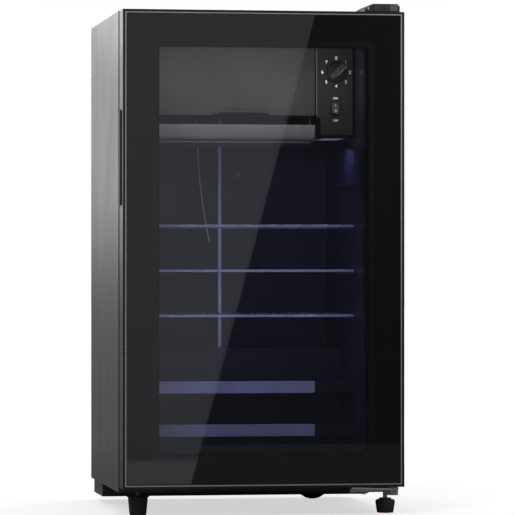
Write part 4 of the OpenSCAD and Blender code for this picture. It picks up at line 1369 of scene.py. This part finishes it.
class FRIDGE_OT_feet(bpy.types.Operator):
    """Make the ribbed levelling feet, their threaded studs and the rear feet"""

    bl_idname = "fridge.feet"
    bl_label = "Feet"

    def execute(self, context):
        for side in ("left", "right"):
            self.cup(side)
            self.stud(side)
        soften_node("rear_feet", 0.0005)
        return DONE

    def cup(self, side):
        """A foot's cup with grip ribs and, on the right, its lock collar."""
        node = f"front_foot_{side}"
        low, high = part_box(node)
        centre = middle(low, high)
        collar = 0.0025 if side == "right" else 0
        top = high.z - collar
        outer = (high.x - low.x) / 2
        core = outer - 0.0009
        hole = 0.0041
        profile = [
            (0, 0), (outer - 0.0042, 0), (outer - 0.0034, 0.0011), (core - 0.0004, top - 0.0042),
            (core, top - 0.0026), (core - 0.0008, top - 0.0009), (core - 0.0022, top), (hole, top),
            (hole, top - 0.0119), (0, top - 0.0119),
        ]
        body = solid("cup", turned(profile), smooth=True)
        lean = Vector((outer - 0.0041, 0, 0.0020)), Vector((core - 0.0008, 0, top - 0.0035))
        rib = rod("rib", lean[0], lean[1], 0.0019, 8)
        ribs = grow("ribs", ring_tree, Pattern=rib, Count=sizes().flutes, Centre=(0, 0, 0))
        parts = [body, ribs]
        if collar:
            nut = [
                (hole, top - 0.0002), (0.0098, top - 0.0002), (0.0100, top + 0.0004),
                (0.0100, high.z - 0.0005), (0.0095, high.z), (hole, high.z)]
            rings = [circle(radius, 48, z) for radius, z in nut]
            parts.append(solid("collar", lambda work: skin(work, rings, capped=False), smooth=True))
        foot = joined(f"foot_cup_{side}", *parts)
        foot.data.transform(Matrix.Translation((centre.x, centre.y, 0)))
        mount_node(foot, node)

    def stud(self, side):
        """A threaded stud."""
        node = f"foot_stud_{side}"
        low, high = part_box(node)
        centre = middle(low, high)
        radius = (high.x - low.x) / 2
        length = high.z - low.z
        pitch, depth, steps = 0.00125, 0.0007, 20
        chamfer, tip = 0.0012, 0.55
        rows = int(length / pitch) * 5

        def thread(work):
            rings = []
            for row in range(rows + 1):
                z = length * row / rows
                ring = []
                for k in range(steps):
                    wave = abs(((z / pitch - k / steps) % 1) * 2 - 1)
                    end = min(1.0, (length - z) / chamfer + tip, z / chamfer + tip)
                    reach = (radius - depth * wave) * end
                    ring.append((
                        centre.x + reach * math.cos(math.tau * k / steps),
                        centre.y + reach * math.sin(math.tau * k / steps), low.z + z))
                rings.append(ring)
            skin(work, rings)

        mount_node(solid(f"threaded_stud_{side}", thread, smooth=True), node)


class FRIDGE_OT_freezer(bpy.types.Operator):
    """Make the freezer compartment: its flap, frame, pins and rolled aluminium box"""

    bl_idname = "fridge.freezer"
    bl_label = "Freezer compartment"

    def execute(self, context):
        soften_node("freezer_door", 0.0009, 3)
        soften_node("freezer_frame", 0.0006)
        soften_node("freezer_pins", 0.0004)
        self.finger_marks()
        self.sheet_edge()
        self.channels()
        self.lead()
        return DONE

    def finger_marks(self):
        """Dark marks at both ends of the flap's finger groove and a dark strip along it: painted shade
        in the groove.
        """
        # Black blocks at the groove's ends and along it: painted shade.
        places = [FLAP_LOW.x + 0.1148, FLAP_LOW.x + 0.1948]
        marks = [
            block((x - 0.0022, FLAP_LOW.y - 0.0002, FLAP_LOW.z + 0.0079),
                  (x + 0.0022, FLAP_LOW.y + 0.0012, FLAP_LOW.z + 0.0105)) for x in places]
        marks.append(block(
            (places[0], FLAP_LOW.y - 0.0001, FLAP_LOW.z + 0.0092),
            (places[1], FLAP_LOW.y + 0.0006, FLAP_LOW.z + 0.0105)))
        mount(solid("groove_stops", *marks), "black_plastic", "freezer_flap", "grey_plastic")

    def sheet_edge(self):
        """A pale upright strip between the flap and the control box: a painted highlight for the control
        box's lit left side.
        """
        # The strip stands in for the lit side of the control box: painted highlight.
        low = (CONTROL_LOW.x - 0.0013, CONTROL_LOW.y + 0.0004, FLAP_LOW.z)
        high = (CONTROL_LOW.x - 0.0001, CONTROL_LOW.y + 0.0104, FLAP_HIGH.z)
        mount(solid("sheet_edge", block(low, high)), "edge", "cabinet", "evaporator")

    def channels(self):
        """The refrigerant channel that is rolled into the box's floor."""
        low, high = EVAPORATOR_LOW, EVAPORATOR_HIGH
        floor = low.z + 0.0015
        runs = 7
        x0, x1 = low.x + 0.025, high.x - 0.025
        y0, y1 = low.y + 0.03, high.y - 0.02
        route = []
        for k in range(runs):
            y = y0 + (y1 - y0) * k / (runs - 1)
            ends = (x0, x1) if k % 2 == 0 else (x1, x0)
            route += [(x, y, floor) for x in ends]
        floor_channel = pipe("floor_channel", route, 0.0042, (y1 - y0) / (runs - 1) / 2, 10, 5)
        inside = softened("evaporator_box", 0.0006)
        mount_node(joined("rolled_box", inside, floor_channel), "evaporator_box")

    def lead(self):
        """The thermostat's thin lead, which sags under the freezer's floor."""
        low = EVAPORATOR_LOW
        y, z = low.y + 0.012, low.z - 0.0005
        steps, depth, fullness = 10, 0.0165, 0.7
        x0, x1 = FLAP_LOW.x + 0.020, FLAP_LOW.x + 0.078
        sag = [
            (x0 + (x1 - x0) * k / steps, y, z - depth * math.sin(math.pi * k / steps) ** fullness)
            for k in range(steps + 1)]
        mount(pipe("thermostat_lead", sag, 0.0014, 0.002, 8, 3), "zinc", "cabinet", "zinc")


class FRIDGE_OT_tray(bpy.types.Operator):
    """Make the chiller tray and the rails it slides on"""

    bl_idname = "fridge.tray"
    bl_label = "Chiller tray"

    def execute(self, context):
        soften_node("chiller_tray", 0.0007, 3)
        soften_node("tray_rails", 0.0005)
        return DONE


class FRIDGE_OT_controls(bpy.types.Operator):
    """Make the control box with its dial, knob and light switch"""

    bl_idname = "fridge.controls"
    bl_label = "Controls"

    def execute(self, context):
        soften_node("control_box", 0.0009, 3, finish_name="control")
        soften_node("thermostat_body", 0.0005)
        soften_node("thermostat_shaft", 0.0003)
        soften_node("light_switch", 0.0004)
        self.knob()
        self.dial()
        self.rocker()
        return DONE

    def knob(self):
        """The knob: a round skirt, a raised grip and a white pointer line."""
        radius = (KNOB_HIGH.x - KNOB_LOW.x) / 2
        height = KNOB_HIGH.y - KNOB_LOW.y
        base = KNOB_HIGH.y
        skirt = [
            (0, 0), (radius - 0.0004, 0), (radius, 0.0006), (radius, 0.0024), (radius - 0.0008, 0.0036),
            (radius - 0.0024, 0.0042), (radius - 0.0030, 0.0050), (radius - 0.0042, 0.0054), (0, 0.0054),
        ]
        plate_part = solid("skirt", turned(skirt), smooth=True)
        half, nose = 0.005, radius + 0.0020
        tail = -(radius - 0.0028)
        outline = [
            (tail + 0.0012, -half + 0.0006), (nose - 0.0040, -half), (nose, -half * 0.74),
            (nose, -half * 0.50), (radius - 0.0030, half - 0.0008), (radius - 0.0046, half),
            (tail + 0.0028, half), (tail, half - 0.0022), (tail - 0.0003, 0),
        ]
        grip = solid("knob_grip", plate(outline, 0.0040, height))
        settle(grip, "BEVEL", width=0.0008, segments=3)
        teeth = rod("tooth", (radius - 0.0002, 0, 0.0008), (radius - 0.0006, 0, 0.0034), 0.0011, 6)
        toothed = grow("teeth", ring_tree, Pattern=teeth, Count=48, Centre=(0, 0, 0))
        body = joined("dial_knob", plate_part, toothed)
        line = solid("pointer_line", block(
            (tail + 0.0095, -half + 0.0004, height - 0.0002),
            (nose - 0.0008, -half + 0.0011, height + 0.00015)))
        diagonal = 0.70711
        turn = Matrix((
            (diagonal, -diagonal, 0, KNOB_AXIS.x), (0, 0, -1, base),
            (diagonal, diagonal, 0, KNOB_AXIS.z), (0, 0, 0, 1)))
        for piece in (body, grip, line):
            piece.data.transform(turn)
        mount(grip, "grip", "knob", "black_plastic")
        mount_node(body, "thermostat_knob")
        mount(line, "bar_plastic", "knob", "white_plastic")

    def dial(self):
        """The dial's numbers and the words at the switch."""
        front = CONTROL_LOW.y - 0.00002
        reach = sizes().dial_radius
        words = []
        for k in range(8):
            angle = math.radians(90 - 45 * k)
            x, z = reach * math.cos(angle), reach * math.sin(angle)
            words.append(lettering(
                f"number_{k}", str(k), sizes().number_height, (KNOB_AXIS.x + x, front, KNOB_AXIS.z + z)))
        switch = middle(ROCKER_LOW, ROCKER_HIGH)
        for word, drop in (("ON", 0.0162), ("OFF", -0.0198)):
            words.append(lettering(
                "word", word, sizes().number_height * 0.66, (switch.x, front, switch.z + drop)))
        mount(joined("dial_print", *words), "ink", "cabinet", "white_plastic")

    def rocker(self):
        """The rocker with its two marks."""
        soften_node("light_switch_rocker", 0.0006, 3)
        centre = middle(ROCKER_LOW, ROCKER_HIGH)
        marks = []
        for word, side in (("I", 1), ("O", -1)):
            reach = 0.0046 * side
            depth = ROCKER_PIVOT_Y - 0.0051 + reach * math.sin(ROCKER_LEAN) - abs(reach) * 0.19
            marks.append(lettering("mark", word, 0.0032, (centre.x, depth, centre.z + reach)))
        mount(joined("rocker_marks", *marks), "ink", "rocker", "white_plastic")


class FRIDGE_OT_lamp(bpy.types.Operator):
    """Make the ribbed lens of the lamp under the control box"""

    bl_idname = "fridge.lamp"
    bl_label = "Lamp"

    def execute(self, context):
        low, high = LAMP_LOW, LAMP_HIGH
        rim = 0.003
        lens = solid("lens", block(low + Vector((rim, rim, 0.0010)), high - Vector((rim, rim, 0))))
        rib = rod("rib", (low.x + rim, 0, 0), (high.x - rim, 0, 0), 0.0030, 8)
        count = sizes().lens_ribs
        first = low.y + rim + 0.002
        step = (high.y - low.y - 2 * rim - 0.004) / (count - 1)
        ribs = grow(
            "ribs", row_tree, Pattern=rib, Count=count, Start=(0, first, low.z + 0.0015),
            Step=(0, step, 0))
        mount_node(joined("lamp_lens", lens, ribs), "led_lamp")

        def rim_of(work):
            inner = rim - 0.0001
            rings = ((0, low.z), (0, high.z), (inner, high.z), (inner, low.z))
            skin(work, [[
                (x, y, z)
                for x, y in oblong(low.x + inset, high.x - inset, low.y + inset, high.y - inset)
            ] for inset, z in rings], capped=False)

        mount(solid("lamp_rim", rim_of), "black_plastic", "cabinet", "black_plastic")
        return DONE


class FRIDGE_OT_liner_details(bpy.types.Operator):
    """Make the temperature sensor's wire and its clip on the rear wall"""

    bl_idname = "fridge.liner_details"
    bl_label = "Liner details"

    def execute(self, context):
        round_node("sensor_capillary", "sleeve")
        wall = LINER_REAR
        tabs = [
            block((x - 0.0010, wall - 0.0045, 0.540), (x + 0.0010, wall + 0.0004, 0.549))
            for x in (0.0152, 0.0206)]
        mount(solid("wall_clip", *tabs), "bar_plastic", "cabinet", "bar_plastic")
        plinth = block((0.0140, wall - 0.0012, 0.5375), (0.0218, wall + 0.0004, 0.5515))
        mount(solid("clip_base", plinth), "liner", "cabinet", "liner")
        return DONE


class FRIDGE_OT_racks(bpy.types.Operator):
    """Weld the three wire racks"""

    bl_idname = "fridge.racks"
    bl_label = "Racks"

    def execute(self, context):
        for place in ("upper", "middle", "lower"):
            self.rack(place)
        return DONE

    def rack(self, place):
        """One rack: side rods, cross rods and long wires."""
        low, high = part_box(f"rack_{place}")
        side = (high.x - low.x - RACK_SIDE_ROD) / 2
        level = low.z + RACK_SIDE_ROD / 2
        front, rear = low.y + 0.001, high.y - 0.001
        rods = [
            rod("rod", (x, low.y, level), (x, high.y, level), RACK_SIDE_ROD, 14)
            for x in (-side, side)]
        rods += [
            rod("rod", (-side, y, level), (side, y, level), RACK_ROD, 14)
            for y in (front, (front + rear) / 2, rear)]
        wire = rod("wire", (0, front + 0.0003, 0), (0, rear - 0.0003, 0), RACK_WIRE, 8)
        count = sizes().rack_wires
        gap = 2 * side / (count + 1)
        wires = grow(
            "wires", row_tree, Pattern=wire, Count=count, Start=(gap - side, 0, level + 0.0014),
            Step=(gap, 0, 0))
        mount_node(joined(f"wire_rack_{place}", wires, *rods), f"rack_{place}")


class FRIDGE_OT_shelf(bpy.types.Operator):
    """Make the glass shelf, its trim bar and the guard rail"""

    bl_idname = "fridge.shelf"
    bl_label = "Glass shelf and guard rails"

    def execute(self, context):
        soften_node("glass_shelf", 0.0009, 3)
        self.guard("shelf_trim", "glass_shelf_trim")
        self.guard("guard", "guard_rail")
        return DONE

    def guard(self, name, node):
        """A light bar that ends at the flap's right edge, with black plates behind it: the left plate is
        a bracket, and the right plate, seen past the bar's end, is a painted shadow.
        """
        low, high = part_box(node)
        thick = 0.004
        right = FLAP_HIGH.x
        outline = rounded_outline(low.x + 0.008, right, low.z, high.z, 0.003)
        bar = solid(f"{name}_bar", slab(outline, low.y, low.y + thick))
        settle(bar, "BEVEL", width=0.0006, segments=2)
        mount_node(bar, node)
        behind = low.y + thick
        # The right plate is black past the bar's end: a painted shadow; the left plate is a bracket.
        bracket_and_shadow_plates = [
            block((x0, behind, low.z + 0.001), (x1, behind + 0.0019, high.z - 0.0005))
            for x0, x1 in ((right - 0.040, high.x), (low.x, low.x + 0.040))]
        mount(solid(f"{name}_bracket", *bracket_and_shadow_plates), "black_plastic", "cabinet", "bar_plastic")


class FRIDGE_OT_compressor(bpy.types.Operator):
    """Make the compressor, its box, pan, mounts and copper lines"""

    bl_idname = "fridge.compressor"
    bl_label = "Compressor bay"

    def execute(self, context):
        soften_node("compressor", 0.0012, 3)
        soften_node("compressor_mounts", 0.0008)
        soften_node("terminal_box", 0.0012, 3)
        soften_node("evaporation_pan", 0.0008)
        soften_node("cord_gland", 0.0005)
        soften_node("drain_tube", 0.0004)
        for node in ("discharge_line", "suction_line", "filter_drier"):
            round_node(node, SLOT_OF[node])
        self.weld()
        self.lid_screw()
        return DONE

    def weld(self):
        """The weld bead round the compressor's can."""
        low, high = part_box("compressor")
        centre = middle(low, high)
        ears, lip, foot, seam, lift = 0.008, 0.0022, 0.003, 0.55, 0.0028
        radius = (high.x - low.x) / 2 - ears + lip
        level = low.z + foot + (high.z - low.z - foot) * seam + lift
        bead = rod("bead", (radius, -0.0021, 0), (radius, 0.0021, 0), 0.0030, 8)
        ring = grow(
            "compressor_weld", ring_tree, Pattern=bead, Count=96, Centre=(centre.x, centre.y, level))
        mount(ring, "compressor_paint", "cabinet", "compressor_paint")

    def lid_screw(self):
        """The screw that holds the lid of the terminal box."""
        low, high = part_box("terminal_box")
        pattern = cross_screw(0.0085, 0.0022, 0.004, 0.002)
        places = [Vector((high.x, (low.y + high.y) / 2, z)) for z in (low.z + 0.014, high.z - 0.014)]
        screws = grow(
            "terminal_screws", spots_tree, spots(places), Pattern=pattern, Turn=(0, math.radians(90), 0))
        mount(screws, "zinc", "cabinet", "zinc")


class FRIDGE_OT_condenser(bpy.types.Operator):
    """Make the condenser's coil, wires and brackets"""

    bl_idname = "fridge.condenser"
    bl_label = "Condenser"

    def execute(self, context):
        soften_node("condenser_brackets", 0.001, 3)
        self.coil()
        self.wires()
        return DONE

    def coil(self):
        """One tube that runs up and down across the back."""
        low, high = COIL_LOW, COIL_HIGH
        runs, tube = CONDENSER_RUNS, high.y - low.y
        x0, x1 = low.x + tube / 2, high.x - tube / 2
        bottom, top = low.z + tube / 2, high.z - tube / 2
        pitch = (x1 - x0) / (runs - 1)
        y = (low.y + high.y) / 2
        route = [(x0, y, bottom + pitch / 2)]
        for k in range(runs):
            x = x0 + pitch * k
            ends = (bottom, top) if k % 2 == 0 else (top, bottom)
            route += [(x, y, z) for z in ends]
        route[1:2] = []
        route[-1] = (x1, y, bottom + pitch / 2)
        mount_node(pipe("condenser_tube", route, tube, pitch / 2, 12, 8), "condenser_coil")

    def wires(self):
        """Thin wires welded across both faces of the coil."""
        low, high = WIRES_LOW, WIRES_HIGH
        thick = 0.0014
        wire = rod("wire", (low.x, 0, 0), (high.x, 0, 0), thick, 6)
        count = sizes().condenser_wires
        step = (high.z - low.z - thick) / (count - 1)
        faces = [
            grow("wires", row_tree, keep_pattern=True, Pattern=wire, Count=count,
                 Start=(0, y, low.z + thick / 2), Step=(0, 0, step))
            for y in (low.y + thick / 2, high.y - thick / 2)]
        discard(wire)
        mount_node(joined("condenser_grid", *faces), "condenser_wires")


class FRIDGE_OT_back(bpy.types.Operator):
    """Make the back panel with its beads and screws"""

    bl_idname = "fridge.back"
    bl_label = "Back panel"

    def execute(self, context):
        low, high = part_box("back_panel")
        panel = softened("back_panel", 0.0003)
        depth = high.y - 0.0012
        bead = rod("bead", (low.x + 0.035, depth, 0), (high.x - 0.035, depth, 0), 0.0058, 12)
        count = 6
        step = (high.z - low.z - 0.12) / (count - 1)
        beads = grow(
            "beads", row_tree, Pattern=bead, Count=count, Start=(0, 0, low.z + 0.06), Step=(0, 0, step))
        mount_node(joined("ribbed_back", panel, beads), "back_panel")
        pattern = cross_screw(0.0078, 0.0018, 0.003, 0.001)
        levels = [low.z + 0.012, (low.z + high.z) / 2, high.z - 0.012]
        places = [Vector((x, high.y, z)) for x in (low.x + 0.011, high.x - 0.011) for z in levels]
        screws = grow(
            "back_screws", spots_tree, spots(places), Pattern=pattern, Turn=(FACING_BACK, 0, 0))
        mount(screws, "zinc", "cabinet", "zinc")
        return DONE


OPERATORS = (
    FRIDGE_OT_stage, FRIDGE_OT_finishes, FRIDGE_OT_cabinet, FRIDGE_OT_label, FRIDGE_OT_door,
    FRIDGE_OT_gasket, FRIDGE_OT_handle, FRIDGE_OT_hinges, FRIDGE_OT_feet, FRIDGE_OT_freezer,
    FRIDGE_OT_tray, FRIDGE_OT_controls, FRIDGE_OT_lamp, FRIDGE_OT_liner_details, FRIDGE_OT_racks,
    FRIDGE_OT_shelf,
    FRIDGE_OT_compressor, FRIDGE_OT_condenser, FRIDGE_OT_back,
)


class FRIDGE_PT_panel(bpy.types.Panel):
    """Lists the makers of the fridge"""

    bl_idname = "FRIDGE_PT_panel"
    bl_label = "Mini fridge"
    bl_space_type = "VIEW_3D"
    bl_region_type = "UI"
    bl_category = "Fridge"

    def draw(self, context):
        """Draws the settings and one button for each maker."""
        for group in (sizes(), colours(), studio()):
            box = self.layout.box()
            for key in group.bl_rna.properties.keys():
                if key not in ("rna_type", "name"):
                    box.prop(group, key)
        for operator in OPERATORS:
            self.layout.operator(operator.bl_idname)


CLASSES = (FridgeSizes, FridgeColours, FridgeStage) + OPERATORS + (FRIDGE_PT_panel,)
GROUPS = {"fridge_sizes": FridgeSizes, "fridge_colours": FridgeColours, "fridge_stage": FridgeStage}


def register():
    """Makes the classes and settings known."""
    for cls in CLASSES:
        bpy.utils.register_class(cls)
    for name, group in GROUPS.items():
        setattr(bpy.types.Scene, name, PointerProperty(type=group))


def unregister():
    """Takes the settings and classes away again."""
    for name in GROUPS:
        delattr(bpy.types.Scene, name)
    for cls in reversed(CLASSES):
        bpy.utils.unregister_class(cls)


def main():
    """Makes the whole fridge."""
    register()
    for operator in OPERATORS:
        group, action = operator.bl_idname.split(".")
        getattr(getattr(bpy.ops, group), action)()


if __name__ == "__main__":
    main()
